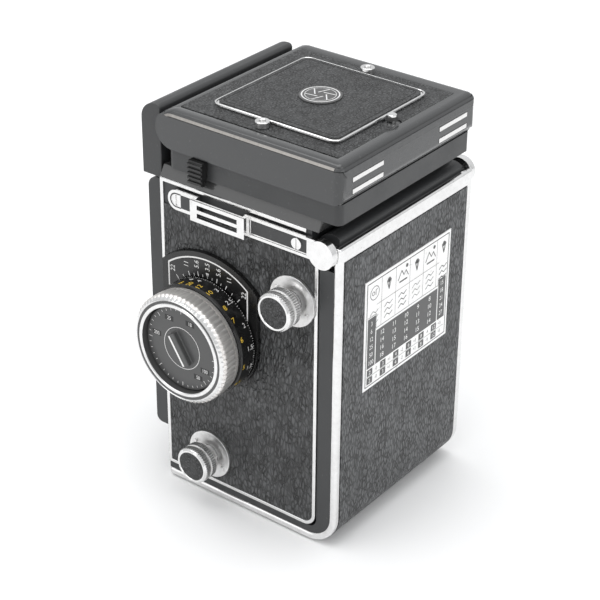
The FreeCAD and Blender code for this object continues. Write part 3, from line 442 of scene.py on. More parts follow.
def enamel(name, colour, wornSheen, rough, peel, wearSheen, coat=0.0):
    tree, shader, point = newMaterial(name)
    mottle = groupNode(tree, mottleGroup, {"Vector": point, "Scale": 90.0, "Low": rough[0], "High": rough[1]})
    edge = groupNode(tree, wearSheenGroup, {"Vector": point, "Radius": 0.0005, "Amount": wearSheen})
    speck = groupNode(tree, speckGroup, {"Vector": point, "Scale": 900.0, "Amount": 0.12})
    # edges are mixed towards the second colour: rubbed paint and painted highlight together
    tone = mixed(tree, edge.outputs[0], colour, wornSheen)
    tone = mixed(tree, speck.outputs[0], tone, grey(0.25))
    skin = addNode(tree, "TexNoise", {"Vector": point, "Scale": peel[0], "Detail": 3.0})
    feed(tree, shader, {"Base Color": tone, "Roughness": mottle.outputs[0], "Coat Weight": coat,
                        "Coat Roughness": 0.12, "Normal": bumped(tree, skin.outputs[0], peel[1])})


def metal(name, colour, rough, squeeze, dull, bump=0.00001):
    tree, shader, point = newMaterial(name)
    streak = groupNode(tree, streakGroup, {"Vector": point, "Squeeze": squeeze})
    mottle = groupNode(tree, mottleGroup, {"Vector": point, "Scale": 70.0, "Low": 0.0, "High": 1.0})
    speck = groupNode(tree, speckGroup, {"Vector": point, "Scale": 700.0, "Amount": 0.3})
    blend = calc(tree, "ADD", calc(tree, "MULTIPLY", streak.outputs[0], 0.6),
                 calc(tree, "MULTIPLY", mottle.outputs[0], 0.4))
    tone = mixed(tree, blend, colour, dull)
    tone = mixed(tree, speck.outputs[0], tone, grey(0.2))
    feed(tree, shader, {"Base Color": tone, "Metallic": 1.0,
                        "Roughness": spread(tree, blend, 0.0, 1.0, rough[0], rough[1]),
                        "Normal": bumped(tree, streak.outputs[0], bump)})


def glass(name, tint, slantReflection, rough, weight):
    # the second colour is the coating's coloured reflection seen at a slant, a painted reflection mixed into
    # the base colour by facing
    tree, shader, point = newMaterial(name)
    mottle = groupNode(tree, mottleGroup, {"Vector": point, "Scale": 120.0, "Low": rough[0],
                                           "High": rough[1]})
    facing = addNode(tree, "LayerWeight", {"Blend": 0.45})
    tone = mixed(tree, facing.outputs["Facing"], tint, slantReflection)
    feed(tree, shader, {"Base Color": tone, "Roughness": mottle.outputs[0], "IOR": 1.5,
                        "Transmission Weight": weight, "Coat Weight": 0.6, "Coat Roughness": 0.03,
                        "Coat Tint": slantReflection})


leather("sideLeather", 0.026, 0.088, 800, 0.42, 1.0, 0.00050, 0.34)
# the back's leather is the same leatherette as the sides, made about twice as light: painted light for the
# brighter-lit back
leather("backLeatherLit", 0.050, 0.140, 850, 0.40, 0.95, 0.00042, 0.38)
leather("topLeather", 0.022, 0.066, 900, 1.0, 0.9, 0.00036, 0.38)
enamel("casting", grey(0.030, -0.04), grey(0.10), (0.30, 0.44), (2600, 0.00003), 0.25)
enamel("insideBlack", grey(0.008), grey(0.03), (0.6, 0.8), (1800, 0.00004), 0.1)
enamel("lidEnamel", grey(0.040, -0.03), grey(0.09), (0.16, 0.26), (420, 0.00002), 0.18, 0.3)
enamel("deckEnamel", grey(0.042), grey(0.12), (0.14, 0.22), (300, 0.00001), 0.2, 0.5)
enamel("hoodEnamel", grey(0.034, -0.03), grey(0.08), (0.34, 0.48), (900, 0.00002), 0.2)
enamel("scaleBlack", grey(0.006), grey(0.05), (0.22, 0.34), (1500, 0.00001), 0.12)
enamel("dialGrey", grey(0.070), grey(0.10), (0.30, 0.42), (1500, 0.00001), 0.1)
enamel("plastic", grey(0.010), grey(0.05), (0.34, 0.5), (1300, 0.00001), 0.25)
enamel("rubber", grey(0.014), grey(0.05), (0.62, 0.8), (1700, 0.00004), 0.2)
enamel("whitePaint", grey(0.78, 0.01), grey(0.5), (0.4, 0.55), (1800, 0.00001), 0.1)
enamel("yellowPaint", (0.78, 0.52, 0.06, 1), (0.5, 0.36, 0.1, 1), (0.4, 0.55), (1800, 0.00001), 0.1)
enamel("plateInk", grey(0.085), grey(0.2), (0.35, 0.5), (1600, 0.00001), 0.1)
metal("chrome", grey(0.84), (0.08, 0.2), (500, 500, 500), grey(0.68, 0.01))
metal("satin", grey(0.78), (0.30, 0.46), (700, 700, 700), grey(0.60, 0.015), 0.00002)
metal("gripSatin", grey(0.86, 0.02), (0.38, 0.5), (60, 1500, 1500), grey(0.60, 0.04), 0.00003)
metal("bandSatin", grey(0.40, 0.05), (0.30, 0.42), (30, 1400, 30), grey(0.28, 0.06))
metal("steelRod", grey(0.6), (0.2, 0.35), (40, 1400, 1400), grey(0.4))
metal("plateSilver", grey(0.94), (0.42, 0.55), (60, 900, 1400), grey(0.86, 0.01))
metal("mirrorFace", grey(0.92), (0.01, 0.05), (80, 80, 80), grey(0.88))
glass("coatedGlass", (0.75, 0.8, 0.95, 1), (0.32, 0.2, 0.62, 1), (0.0, 0.03), 0.95)
glass("clearGlass", (0.93, 0.95, 0.95, 1), (0.8, 0.84, 0.86, 1), (0.02, 0.07), 1.0)
glass("groundGlass", (0.86, 0.88, 0.88, 1), (0.8, 0.82, 0.84, 1), (0.45, 0.6), 0.7)
print("stage: materials", len(finish))


# node, width of its rounded edges, material, steps across an edge
shellParts = (("body_casting", 0.25, "casting", 2), ("body_leather", 0.12, "sideLeather", 2),
              ("side_trims", 0.18, "chrome", 2), ("top_deck", 0.3, "deckEnamel", 2),
              ("strap_lugs", 0.35, "chrome", 3), ("lug_screws", 0.12, "chrome", 2),
              ("spool_flanges", 0.2, "satin", 2), ("back_trim", 0.85, "chrome", 4),
              ("back_cover", 0.2, "casting", 2), ("back_leather", 0.15, "backLeatherLit", 2),
              ("exposure_table", 0.1, "plateSilver", 2), ("tripod_socket", 0.25, "satin", 2),
              ("back_feet", 0.4, "rubber", 3), ("back_latch", 0.3, "satin", 2),
              ("pressure_plate", 0.3, "insideBlack", 2), ("film_gate", 0.1, "insideBlack", 2))
plainParts = {"reflex_mirror": "mirrorFace", "upper_roller": "steelRod", "lower_roller": "steelRod",
              "focusing_screen": "groundGlass", "back_hinge_pin": "steelRod", "takeup_spindle": "steelRod",
              "supply_spindle": "steelRod", "takeup_spool": "plastic"}


def makeShell():
    for node, width, material, segments in shellParts:
        refine(node, width, [material], segments)
    for node, material in plainParts.items():
        dress(node, material)
    print("stage: shell")


lug = {"level": 116.4, "high": 2.45, "channel": (2.2, 25.3), "floor": 39.53, "face": 40.22, "screw": -29.4,
       "screwRound": 2.0, "frontEnd": -21.75}
plate = {"left": -26.0, "right": 24.5, "low": 58.6, "high": 100.7, "face": 38.0, "row": 3.0, "column": 8.2,
         "sign": 36.4}


def makeLugFields():
    # dark fields inside the bright border of each strap lug plate: black paint taken for the recess, and
    # painted shade of its channels
    z, reach = lug["level"], lug["high"]
    for label, side in (("left", 1), ("right", -1)):
        ink = Ink()
        ink.box(lug["channel"][0], z - reach, lug["channel"][1], z + reach, lift=lug["floor"])
        front, screw = lug["screw"], lug["screwRound"]
        ink.box(front + screw, z - reach, lug["frontEnd"], z + reach, lift=lug["face"])
        around = [(front - reach * math.sin(a), z - reach * math.cos(a))
                  for a in (math.radians(15 * step) for step in range(13))]
        path = [(front + screw, z - reach)] + around + [(front + screw, z + reach)]
        ink.stroke(path, 0.5, lift=lug["face"])
        ink.place(label + "_lug_field", lambda u, v, w, side=side: (side * w, u, v), ["hoodEnamel"],
                  "camera_body", "hood_enamel")
    print("stage: lug fields")


def drawSigns(ink):
    # a sign at the head of each column, over three wavy lines
    for index in range(6):
        u, v = 5.4 + index * plate["column"], plate["sign"]
        if index == 0:
            ink.disc(u, v, 2.6, inner=2.35)
            ink.disc(u - 0.8, v, 0.8, inner=0.55)
            ink.stroke([(u + 0.6, v - 1), (u + 0.6, v + 0.8), (u + 1.5, v + 1.2)], 0.3)
        elif index % 2:
            for lean in (-28, 0, 28):
                ink.stroke([(u, v - 2), (u + 2.6 * math.sin(math.radians(lean)), v + 1.6)], 0.35)
            ink.disc(u, v + 1.5, 1.0, sides=9)
        else:
            ink.stroke([(u - 3, v - 1.4), (u - 1, v + 1.8), (u + 0.4, v - 0.3), (u + 1.6, v + 1.0),
                        (u + 3.1, v - 1.4)], 0.35)
            ink.box(u - 2.2, v - 2.6, u + 2.4, v - 2.0)
            ink.disc(u + 2.1, v + 2.6, 0.7)
        for line in range(3):
            base = 24.3 + 2.1 * line
            ink.stroke([(u - 2.4, base), (u - 0.8, base + 1.1), (u + 0.7, base + 0.1), (u + 2.3, base + 1.0)],
                       0.22 + 0.06 * (index % 3))


def makeExposureTable():
    # u runs to the right seen from behind, v up, from the lower left corner of the plate
    width, height = plate["right"] - plate["left"], plate["high"] - plate["low"]
    ink = Ink()
    ink.box(1.9, 8.2, 6.4, 27.5)
    ink.box(6.9, 8.2, 43.6, 21.4)
    ink.box(44.1, 8.2, width - 2.0, 24.5)
    for column in range(5):
        for row in range(4):
            value = str(12 - column + 2 * row)
            ink.text(value, 10.4 + 7.1 * column, 19.4 - plate["row"] * row, 1.75, mark=1, lift=0.05)
    for u, top, numbers in ((4.1, 25.2, (3, 6, 12, 25, 50, 100)), (width - 4.3, 22.6, (15, 18, 21, 24, 27))):
        for row, number in enumerate(numbers):
            ink.text(str(number), u, top - plate["row"] * row, 1.7, mark=1, lift=0.05, squeeze=0.85)
    for low in (1.9, 5.1):
        for column in range(6):
            start = 2.1 + 7.7 * column
            ink.box(start, low, start + 3.2, low + 2.6)
            ink.text(str((2, 3, 4, 6, 8, 12)[column]), start + 1.6, low + 1.3, 1.5, mark=1, lift=0.05)
            ink.text("-+"[column % 2] + str(column), start + 5.3, low + 1.3, 1.3, squeeze=0.8)
    ink.stroke([(1.2, 1.2), (width - 1.2, 1.2), (width - 1.2, height - 1.2), (1.2, height - 1.2)], 0.35,
               closed=True)
    ink.stroke([(1.9, 4.8), (width - 2, 4.8)], 0.15)
    ink.stroke([(1.9, 28.0), (6.6, 28.0), (6.6, 22.4), (43.8, 22.4), (43.8, 25.0), (width - 2, 25.0)], 0.2)
    ink.stroke([(6.6, 31.5), (43.8, 31.5)], 0.15)
    for index in range(1, 6):
        u = 1.2 + index * plate["column"]
        ink.stroke([(u, 22.6), (u, height - 1.4)], 0.13)
    drawSigns(ink)
    ink.place("exposure_print", lambda u, v, w: (plate["right"] - u, plate["face"] + w, plate["low"] + v),
              ["plateInk", "plateSilver"], "back", "printed_plate")
    print("stage: exposure table")


focus = {"centre": (-16.3, 70.0), "rear": 47.9, "face": 56.5, "grip": 20.2, "flutes": 64, "fluteDepth": 0.42,
         "serrations": 192, "serrationDepth": 0.13, "recess": 16.0, "well": 53.0, "bore": 2.05}
drum = {"back": 40.6, "front": 47.9, "radius": 20.7,
        "feet": [("3", 17.5), ("2.5", 34.0), ("2", 60.0), ("1.5", 83.0), ("1.2", 104.0), ("1", 128.0),
                 ("4", -4.0), ("6", -14.0)],
        "yellow": [("∞", -19.0), ("20", -8.0), ("12", 3.0), ("10", 16.0), ("8", 37.0), ("7", 51.0),
                   ("6", 71.0), ("5", 100.0), ("4.5", 122.0), ("4", 146.0)]}
depthScale = {"face": 40.2, "border": 27.8, "halfWidth": 17.3, "foot": 13.0, "figures": 25.3,
              "ticks": (20.9, 22.6),
              "stops": [("22", -38.0), ("11", -22.0), ("5.6", -11.0), ("3.5", 0.0), ("5.6", 11.0),
                        ("11", 22.0), ("22", 38.5)]}


def fluted(count, depth, turn):
    wave = 0.5 - 0.5 * math.cos(2 * math.pi * count * turn)
    return -depth * wave ** 2.2


def fluteRipple(rings, count, depth):
    # a ripple for lathe() that flutes only the given rings
    return lambda ring, turn: fluted(count, depth, turn) if ring in rings else 0


def makeFocusKnob():
    rear, face, grip = focus["rear"], focus["face"], focus["grip"]
    recess, well, bore = focus["recess"], focus["well"], focus["bore"]
    profile = [(rear, 3.0), (rear, 19.3), (rear + 0.25, 19.75), (rear + 1.4, 19.75), (rear + 1.55, 19.4),
               (rear + 1.85, 19.4), (rear + 2.05, grip - 0.1), (rear + 2.7, grip), (face - 2.3, grip + 0.05),
               (face - 1.6, grip), (face - 0.9, grip - 0.5), (face - 0.4, grip - 1.1),
               (face - 0.1, grip - 1.45), (face, grip - 1.7), (face - 0.15, grip - 1.9), (face - 0.2, 17.35),
               (face, 17.2), (face + 0.12, 16.9), (face + 0.1, 16.3), (face - 0.1, recess), (well, recess),
               (well, bore), (well - 1.0, bore)]
    marks = [0] * 10 + [1, 1, 1, 1, 2, 1, 1, 1, 1, 2, 2, 2]
    fluteRings = {6: 0.5, 7: 1.0, 8: 1.0, 9: 1.0, 10: 0.85, 11: 0.35}
    around = 2 * focus["serrations"]

    def ripple(ring, turn):
        if ring in (2, 3):
            return focus["serrationDepth"] * (round(turn * around) % 2)
        if ring in fluteRings:
            return fluted(focus["flutes"], focus["fluteDepth"] * fluteRings[ring], turn)
        return 0

    mesh = lathe("focus_knob_shown", (0, *focus["centre"]), (1, 0, 0), profile, around, ripple, marks)
    addPiece("focus_knob_shown", mesh, ["gripSatin", "chrome", "dialGrey"], "focus_drive", "satin_chrome",
             ["focus_knob"])


def makeDistanceDial():
    centre = (0, *focus["centre"])
    back, front, radius = drum["back"], drum["front"], drum["radius"]
    profile = [(35.7, 3.0), (back, 3.0), (back, radius - 0.4), (back + 0.3, radius), (front - 0.9, radius),
               (front - 0.7, radius - 0.5), (front, radius - 0.7), (front, 3.0)]
    mesh = lathe("distance_dial_shown", centre, (1, 0, 0), profile, 160, None, [1, 0, 0, 0, 0, 0, 0])
    addPiece("distance_dial_shown", mesh, ["scaleBlack", "steelRod"], "focus_drive", "black_scale",
             ["distance_dial"])

    # u runs from the knob to the scale plate, v runs back over the top
    ink = Ink()
    for text, angle in drum["yellow"]:
        ink.text(text, -46.1, -math.radians(angle) * radius, 1.9, mark=1)
    for text, angle in drum["feet"]:
        ink.text(text, -42.9, -math.radians(angle) * radius, 1.75)
    for step in range(-12, 62):
        long = step % 4 == 0
        v = -math.radians(step * 2.6) * radius
        ink.stroke([(-41.5 if long else -41.2, v), (-40.95, v)], 0.2)

    def onDrum(u, v, w):
        angle = -v / radius
        reach = radius + w
        return (-u, centre[1] + reach * math.sin(angle), centre[2] + reach * math.cos(angle))

    ink.place("distance_figures", onDrum, ["whitePaint", "yellowPaint"], "focus_drive", "white_enamel")


def makeDepthScale():
    refine("focus_scale_plate", 0.35, ["scaleBlack"])
    ink = Ink()
    border, half, foot = depthScale["border"], depthScale["halfWidth"], depthScale["foot"]
    inner, far = depthScale["ticks"]
    limit = math.asin(half / border)
    arc = [limit * (step / 24 - 1) for step in range(49)]
    path = [(-half + 3.2, foot - 1.4), (-half + 0.9, foot - 0.9), (-half, foot)]
    path += [(border * math.sin(a), border * math.cos(a)) for a in arc]
    path += [(half, foot - 2.5)]
    ink.stroke(path, 0.55)
    for text, angle in depthScale["stops"]:
        a = math.radians(angle)
        r = depthScale["figures"]
        ink.text(text, r * math.sin(a), r * math.cos(a), 1.95, 90.0, squeeze=0.9)
        ink.stroke([(inner * math.sin(a), inner * math.cos(a)), (far * math.sin(a), far * math.cos(a))], 0.3)
    for angle in (-30, -16, -5.5, 5.5, 16, 30):
        a = math.radians(angle)
        short = far - 0.7
        ink.stroke([(inner * math.sin(a), inner * math.cos(a)),
                    (short * math.sin(a), short * math.cos(a))], 0.22)
    ink.take([(-0.7, 22.9), (0.7, 22.9), (0.0, 21.0)], [(0, 1, 2)], 0, 0.03)

    def onPlate(u, v, w):
        return (depthScale["face"] + w, focus["centre"][0] + u, focus["centre"][1] + v)

    ink.place("depth_figures", onPlate, ["whitePaint"], "camera_body", "white_enamel")


def makeFocusing():
    makeFocusKnob()
    makeDistanceDial()
    makeDepthScale()
    print("stage: focusing drive")


reminder = {"face": 54.2, "lineFace": 56.3, "lean": 33.0, "lineSide": -0.9, "lineHalf": 5.8, "figures": 11.4,
            "speeds": ((118, "25"), (-52, "50"), (-28, "100"), (168, "200"), (70, "18")), "ticks": 14.8}


def makeReminder():
    centre = focus["centre"]
    refine("reminder_dial", 0.35, ["dialGrey"], 3)
    ink = Ink()
    lean = math.radians(reminder["lean"])
    along = Vector((-math.sin(lean), math.cos(lean)))
    across = Vector((math.cos(lean), math.sin(lean)))
    for angle, text in reminder["speeds"]:
        a = math.radians(angle)
        u, v = reminder["figures"] * math.cos(a), reminder["figures"] * math.sin(a)
        ink.box(u - 1.9, v - 1.0, u + 1.9, v + 1.0, mark=1, lift=0.02)
        ink.text(text, u, v, 1.45, mark=0, lift=0.05, squeeze=0.8)
    far = reminder["ticks"]
    for step in range(40):
        a = math.radians(9 * step)
        near = far - (0.8 if step % 5 else 1.5)
        ink.stroke([(near * math.cos(a), near * math.sin(a)), (far * math.cos(a), far * math.sin(a))], 0.2)
    ink.disc(0, 0, 7.9, inner=7.7, lift=0.02, sides=64)
    ink.place("reminder_figures", lambda u, v, w: (reminder["face"] + w, centre[0] + u, centre[1] + v),
              ["whitePaint", "scaleBlack"], "reminder_dial", "white_enamel")
    line = Ink()
    middle, reach = across * reminder["lineSide"], along * reminder["lineHalf"]
    line.stroke([tuple(middle - reach), tuple(middle + reach)], 0.8)
    line.place("reminder_line", lambda u, v, w: (reminder["lineFace"] + w, centre[0] + u, centre[1] + v),
               ["whitePaint"], "reminder_dial", "white_enamel")
    print("stage: film reminder")


spoolKnob = {"radius": 6.9, "face": 49.5, "flutes": 48, "fluteDepth": 0.32,
             "centres": {"takeup": (19.2, 94.2), "supply": (-17.7, 18.2)}}


def makeFilmKnobs():
    radius, face = spoolKnob["radius"], spoolKnob["face"]
    profile = [(41.2, 2.05), (41.2, 5.1), (41.35, 5.3), (43.0, 6.0), (43.4, 6.35), (43.5, radius - 0.15),
               (43.7, radius), (45.8, radius), (46.0, radius - 0.35), (46.15, radius - 0.65),
               (46.45, radius - 0.65), (46.6, radius - 0.35), (46.8, radius), (48.7, radius),
               (48.95, radius - 0.2), (49.2, radius - 0.55), (face, radius - 0.75), (face, radius - 1.35),
               (face - 0.2, radius - 1.45), (face - 0.15, radius - 1.6), (face - 0.1, 0.0)]
    marks = [1] * 4 + [0] * 10 + [1] * 4 + [2, 2]
    ripple = fluteRipple((6, 7, 12, 13), spoolKnob["flutes"], spoolKnob["fluteDepth"])
    around = 5 * spoolKnob["flutes"]
    for label, centre in spoolKnob["centres"].items():
        node = label + "_knob"
        mesh = lathe(node + "_shown", (0, *centre), (1, 0, 0), profile, around, ripple, marks)
        addPiece(node + "_shown", mesh, ["satin", "chrome", "topLeather"], bodyOf[node], "satin_chrome",
                 [node])
    print("stage: film knobs")


lens = {"viewing": 93.0, "taking": 51.0, "tip": 60.5, "board": 46.5, "flutes": 72, "fluteDepth": 0.22,
        "iris": {"viewing": 9.0, "taking": 4.2}, "legend": "75 1:3.5", "legendRadius": 13.6,
        "legendDepth": 4.02}
wheel = {"across": {"shutter": -17.5, "aperture": 17.5}, "height": 72.0, "face": 50.7, "flutes": 40,
         "fluteDepth": 0.45}


def makeBarrel(label):
    board, tip, height = lens["board"], lens["tip"], lens[label]
    centre, forward = (0, 0, height), (0, -1, 0)
    profile = [(34.0, 10.0), (34.0, 12.0), (board, 12.0), (board, 18.6), (board + 0.9, 18.9),
               (board + 1.2, 18.4), (board + 1.3, 16.4), (tip - 8.2, 16.4), (tip - 8.0, 17.0),
               (tip - 5.2, 17.0), (tip - 5.0, 16.5), (tip - 4.2, 16.5), (tip - 4.0, 17.0), (tip - 0.4, 17.0),
               (tip, 16.6), (tip, 15.5), (tip - 0.3, 15.2), (tip - 3.8, 15.2), (tip - 4.0, 14.8),
               (tip - 4.2, 12.6), (tip - 4.6, 12.2), (tip - 5.0, 11.5), (tip - 9.0, 11.5), (tip - 9.0, 10.0)]
    marks = [2, 2] + [1] * 6 + [0] * 5 + [1] * 4 + [2] * 6
    ripple = fluteRipple((8, 9), lens["flutes"], lens["fluteDepth"])
    mesh = lathe(label + "_barrel_shown", centre, forward, profile, 4 * lens["flutes"], ripple, marks)
    addPiece(label + "_barrel_shown", mesh, ["satin", "chrome", "scaleBlack"], "lens_board", "satin_chrome",
             [label + "_barrel"])
    dress(label + "_lens", "coatedGlass")
    iris = lens["iris"][label]
    inner = [(39.5, iris), (39.7, iris), (39.7, 11.4), (41.0, 11.4)]
    mesh = lathe(label + "_inner", centre, forward, inner, 64)
    addPiece(label + "_inner", mesh, ["insideBlack"], "lens_board", "matt_black")
    curve = [(board - 0.02 * r * r, r) for r in (10.0, 8.0, 6.0, 4.0, 2.0, 0.0)]
    mesh = lathe(label + "_rear_glass", centre, forward, [(44.0, 0.0), (44.0, 10.0)] + curve, 64)
    addPiece(label + "_rear_glass", mesh, ["coatedGlass"], "lens_board", "coated_glass")
    ink = Ink()
    reach = lens["legendRadius"]
    for index, letter in enumerate(lens["legend"]):
        angle = 62 - index * 17.5
        a = math.radians(angle)
        ink.text(letter, reach * math.cos(a), reach * math.sin(a), 1.35, angle - 90)
    ink.place(label + "_figures", lambda u, v, w: (u, -tip + lens["legendDepth"] - w, height + v),
              ["whitePaint"], "lens_board", "white_enamel")


def makeWheel(label):
    node, x = label + "_wheel", wheel["across"][label]
    face, height = wheel["face"], wheel["height"]
    profile = [(43.5, 1.5), (46.7, 1.5), (46.7, 6.8), (46.9, 7.0), (49.8, 7.0), (50.1, 6.7), (50.3, 6.2),
               (50.5, 6.0), (50.9, 5.7), (50.9, 5.1), (face, 5.0), (face, 0.0)]
    marks = [0] * 4 + [1] * 6 + [2]
    ripple = fluteRipple((3, 4), wheel["flutes"], wheel["fluteDepth"])
    mesh = lathe(node + "_shown", (x, 0, height), (0, -1, 0), profile, 6 * wheel["flutes"], ripple, marks)
    addPiece(node + "_shown", mesh, ["satin", "chrome", "scaleBlack"], bodyOf[node], "satin_chrome", [node])
    ink = Ink()
    ink.disc(0, 0, 2.0, inner=1.75)
    ink.stroke([(0, 2.4), (0, 4.4)], 0.4)
    ink.place(label + "_mark", lambda u, v, w: (x + u, -face - w, height + v), ["whitePaint"], bodyOf[node],
              "white_enamel")


def makeBoard():
    refine("lens_board", 0.4, ["casting"], 3)
    for label in ("viewing", "taking"):
        makeBarrel(label)
    for label in wheel["across"]:
        makeWheel(label)
    refine("release_button", 0.3, ["satin"], 3)
    refine("sync_socket", 0.15, ["chrome"])
    makePeepWindow()
    print("stage: lens board")


def makePeepWindow():
    # the window over the viewing lens that shows the chosen speed and stop
    front = -lens["board"]
    outline = [(-8.5, 113.2), (8.5, 113.2), (9.3, 114.2), (9.3, 116.8), (8.5, 117.8), (-8.5, 117.8),
               (-9.3, 116.8), (-9.3, 114.2)]
    middle = 115.5
    rings = []
    for grow, out in ((1.09, 0.0), (1.09, 0.5), (1.05, 0.75), (0.98, 0.75), (0.94, 0.35)):
        rings.append([(x * grow, front - out, middle + (z - middle) * grow ** 2) for x, z in outline])
    points = [point for ring in rings for point in ring]
    count = len(outline)
    faces = []
    for low in range(0, (len(rings) - 1) * count, count):
        for step in range(count):
            after = (step + 1) % count
            faces.append((low + step, low + after, low + count + after, low + count + step))
    mesh = meshFrom("speed_window_frame", points, faces)
    addPiece("speed_window_frame", mesh, ["chrome"], "lens_board", "bright_chrome")
    ink = Ink()
    ink.box(-8.9, 113.2, 8.9, 117.8, mark=1, lift=0.3)
    ink.text("125", -4.6, 115.5, 1.9, lift=0.34)
    ink.text("8", 4.6, 115.5, 1.9, lift=0.34)
    ink.stroke([(0, 113.8), (0, 117.2)], 0.2, lift=0.34)
    ink.place("speed_window_figures", lambda u, v, w: (u, front - w, v), ["whitePaint", "scaleBlack"],
              "lens_board", "white_enamel")


meterCells = {"half": 32.0, "low": 124.4, "high": 139.2, "face": 47.75, "pitch": 2.6, "rowPitch": 2.262,
              "outer": 1.32, "inner": 0.75}


def makeMeter():
    refine("meter_housing", 0.35, ["hoodEnamel"], 3)
    dress("meter_window", "groundGlass")
    half, low, high, pitch, rowPitch, face, outer, inner = (meterCells[key] for key in (
        "half", "low", "high", "pitch", "rowPitch", "face", "outer", "inner"))
    points, faces = [], []
    for row in range(int((high - low) / rowPitch)):
        for column in range(int(2 * half / pitch)):
            u = -half + pitch * (column + 0.5 + 0.5 * (row % 2))
            v = low + rowPitch * (row + 0.5)
            if u > half - pitch / 2:
                continue
            base = len(points)
            for step in range(6):
                a = math.radians(60 * step + 30)
                points.append((u + outer * math.cos(a), -face, v + outer * math.sin(a)))
                points.append((u + inner * math.cos(a), 0.12 - face, v + inner * math.sin(a)))
            points.append((u, -face - 0.35, v))
            for step in range(6):
                a, b = base + 2 * step, base + 2 * ((step + 1) % 6)
                faces += [(a, b, b + 1, a + 1), (a + 1, b + 1, base + 12)]
    mesh = meshFrom("meter_cells", points, faces, angle=60)
    addPiece("meter_cells", mesh, ["clearGlass"], "camera_body", "ground_glass")
    print("stage: meter")


crank = {"handle": (-10.0, 49.0), "counter": (-10.0, 99.0), "counterFace": 38.35, "flutes": 28,
         "fluteDepth": 0.3}


def makeCrankSide():
    refine("crank_plate", 0.3, ["satin"], 3)
    dress("counter_window", "clearGlass")
    refine("crank_arm", 0.4, ["satin"], 3)
    profile = [(42.8, 1.25), (42.8, 3.0), (43.0, 3.2), (44.0, 3.2), (44.3, 3.6), (44.5, 3.8), (49.2, 3.8),
               (49.5, 3.5), (50.0, 3.1), (50.8, 2.7), (50.8, 1.25)]
    ripple = fluteRipple((5, 6), crank["flutes"], crank["fluteDepth"])
    mesh = lathe("crank_handle_shown", (0, *crank["handle"]), (-1, 0, 0), profile, 6 * crank["flutes"],
                 ripple, [0, 1, 1, 1, 0, 0, 0, 1, 1, 1])
    addPiece("crank_handle_shown", mesh, ["satin", "chrome"], "crank_handle", "satin_chrome",
             ["crank_handle"])
    ink = Ink()
    ink.disc(0, 0, 3.5, mark=1, lift=0.0)
    ink.text("5", 0, 0, 3.4, lift=0.04)
    y, z = crank["counter"]
    ink.place("counter_figure", lambda u, v, w: (-crank["counterFace"] - w, y - u, z + v),
              ["whitePaint", "scaleBlack"], "camera_body", "black_scale")
    print("stage: crank side")


lidRim = {"half": 38.7, "rear": 37.5, "top": 147.3, "nose": 6.85, "front": -39.0, "corner": 3.0,
          "step": 145.1, "innerHalf": 36.6, "innerRear": 35.3, "innerTop": 146.6}


def shapeLid(work):
    # rounds the upright rear corners and steps the top edge in, under the rim
    half, rear, top = (lidRim[key] * millimetre for key in ("half", "rear", "step"))
    near = 5e-5
    tall = [edge for edge in work.edges
            if all(abs(abs(v.co.x) - half) < near and abs(v.co.y - rear) < near for v in edge.verts)]
    bmesh.ops.bevel(work, geom=tall, offset=lidRim["corner"] * millimetre, segments=6, profile=0.5,
                    affect="EDGES")
    geometry = work.verts[:] + work.edges[:] + work.faces[:]
    bmesh.ops.bisect_plane(work, geom=geometry, plane_co=(0, 0, top), plane_no=(0, 0, 1))
    for vert in work.verts:
        if vert.co.z > top + 1e-5:
            inset = lidRim["innerHalf"] * millimetre
            vert.co.x = max(-inset, min(inset, vert.co.x))
            vert.co.y = min(lidRim["innerRear"] * millimetre, vert.co.y)
            vert.co.z = min(vert.co.z, lidRim["innerTop"] * millimetre)


def makeLidRim():
    half, rear, top, corner = lidRim["half"], lidRim["rear"], lidRim["top"], lidRim["corner"]
    nose, front = lidRim["nose"], lidRim["front"]
    # a bright line let into a groove, then the roll up to its crest and down to the leather; the grooves are
    # coloured near-black as painted shade
    profile = [(0.0, -2.3), (0.14, -2.15), (0.14, -1.95), (0.03, -1.85), (0.22, -1.5), (0.6, -1.08),
               (0.7, -1.2), (0.85, -1.3), (1.0, -1.1)]
    crest, edge, fall = 3.1, 6.2, 0.8
    for step in range(1, 8):
        a = math.radians(90 * step / 7)
        profile.append((crest - (crest - 1.0) * math.cos(a), -1.1 + 1.1 * math.sin(a)))
    for step in range(1, 8):
        a = math.radians(90 * step / 7)
        profile.append((crest + (edge - crest) * math.sin(a), -fall * (1 - math.cos(a))))
    profile.append((edge, -1.0))
    line, shadedGrooves = (3, 4), (1, 2, 5, 6)

    def noseStation(side, slant):
        c, s = math.cos(slant), math.sin(slant)
        return lambda d, h: (side * (half - d), front + nose - (nose + h) * s, top - nose + (nose + h) * c)

    def cornerStation(side, turn):
        c, s = math.cos(turn), math.sin(turn)
        x, y = half - corner, rear - corner

        def put(d, h):
            if d > corner:
                return (side * (x - (d - corner)), y - (d - corner), top + h)
            return (side * (x + (corner - d) * c), y + (corner - d) * s, top + h)
        return put

    slants = [math.radians(46 * (1 - step / 8)) for step in range(9)]
    turns = [math.radians(90 * step / 10) for step in range(11)]
    stations = [noseStation(1, slant) for slant in slants] + [cornerStation(1, turn) for turn in turns]
    stations += [cornerStation(-1, turn) for turn in reversed(turns)]
    stations += [noseStation(-1, slant) for slant in reversed(slants)]
    sideRuns = (range(len(slants)), range(len(stations) - len(slants) - 1, len(stations) - 1))

    def marks(index, step):
        if step in shadedGrooves:
            return 2
        return 1 if step in line and any(index in run for run in sideRuns) else 0

    mesh = sweep("lid_rim", stations, profile, marks)
    addPiece("lid_rim", mesh, ["lidEnamel", "bandSatin", "insideBlack"], "hood_lid", "hood_enamel")


lid = {"stripeLeft": 16.0, "stripeRight": 32.5, "stripeTops": (141.8, 137.7), "stripeHigh": 1.5,
       "stripeFace": 37.52, "lip": 0.36, "lipCorner": 2.6, "crease": 2.5, "creaseCorner": 1.6}


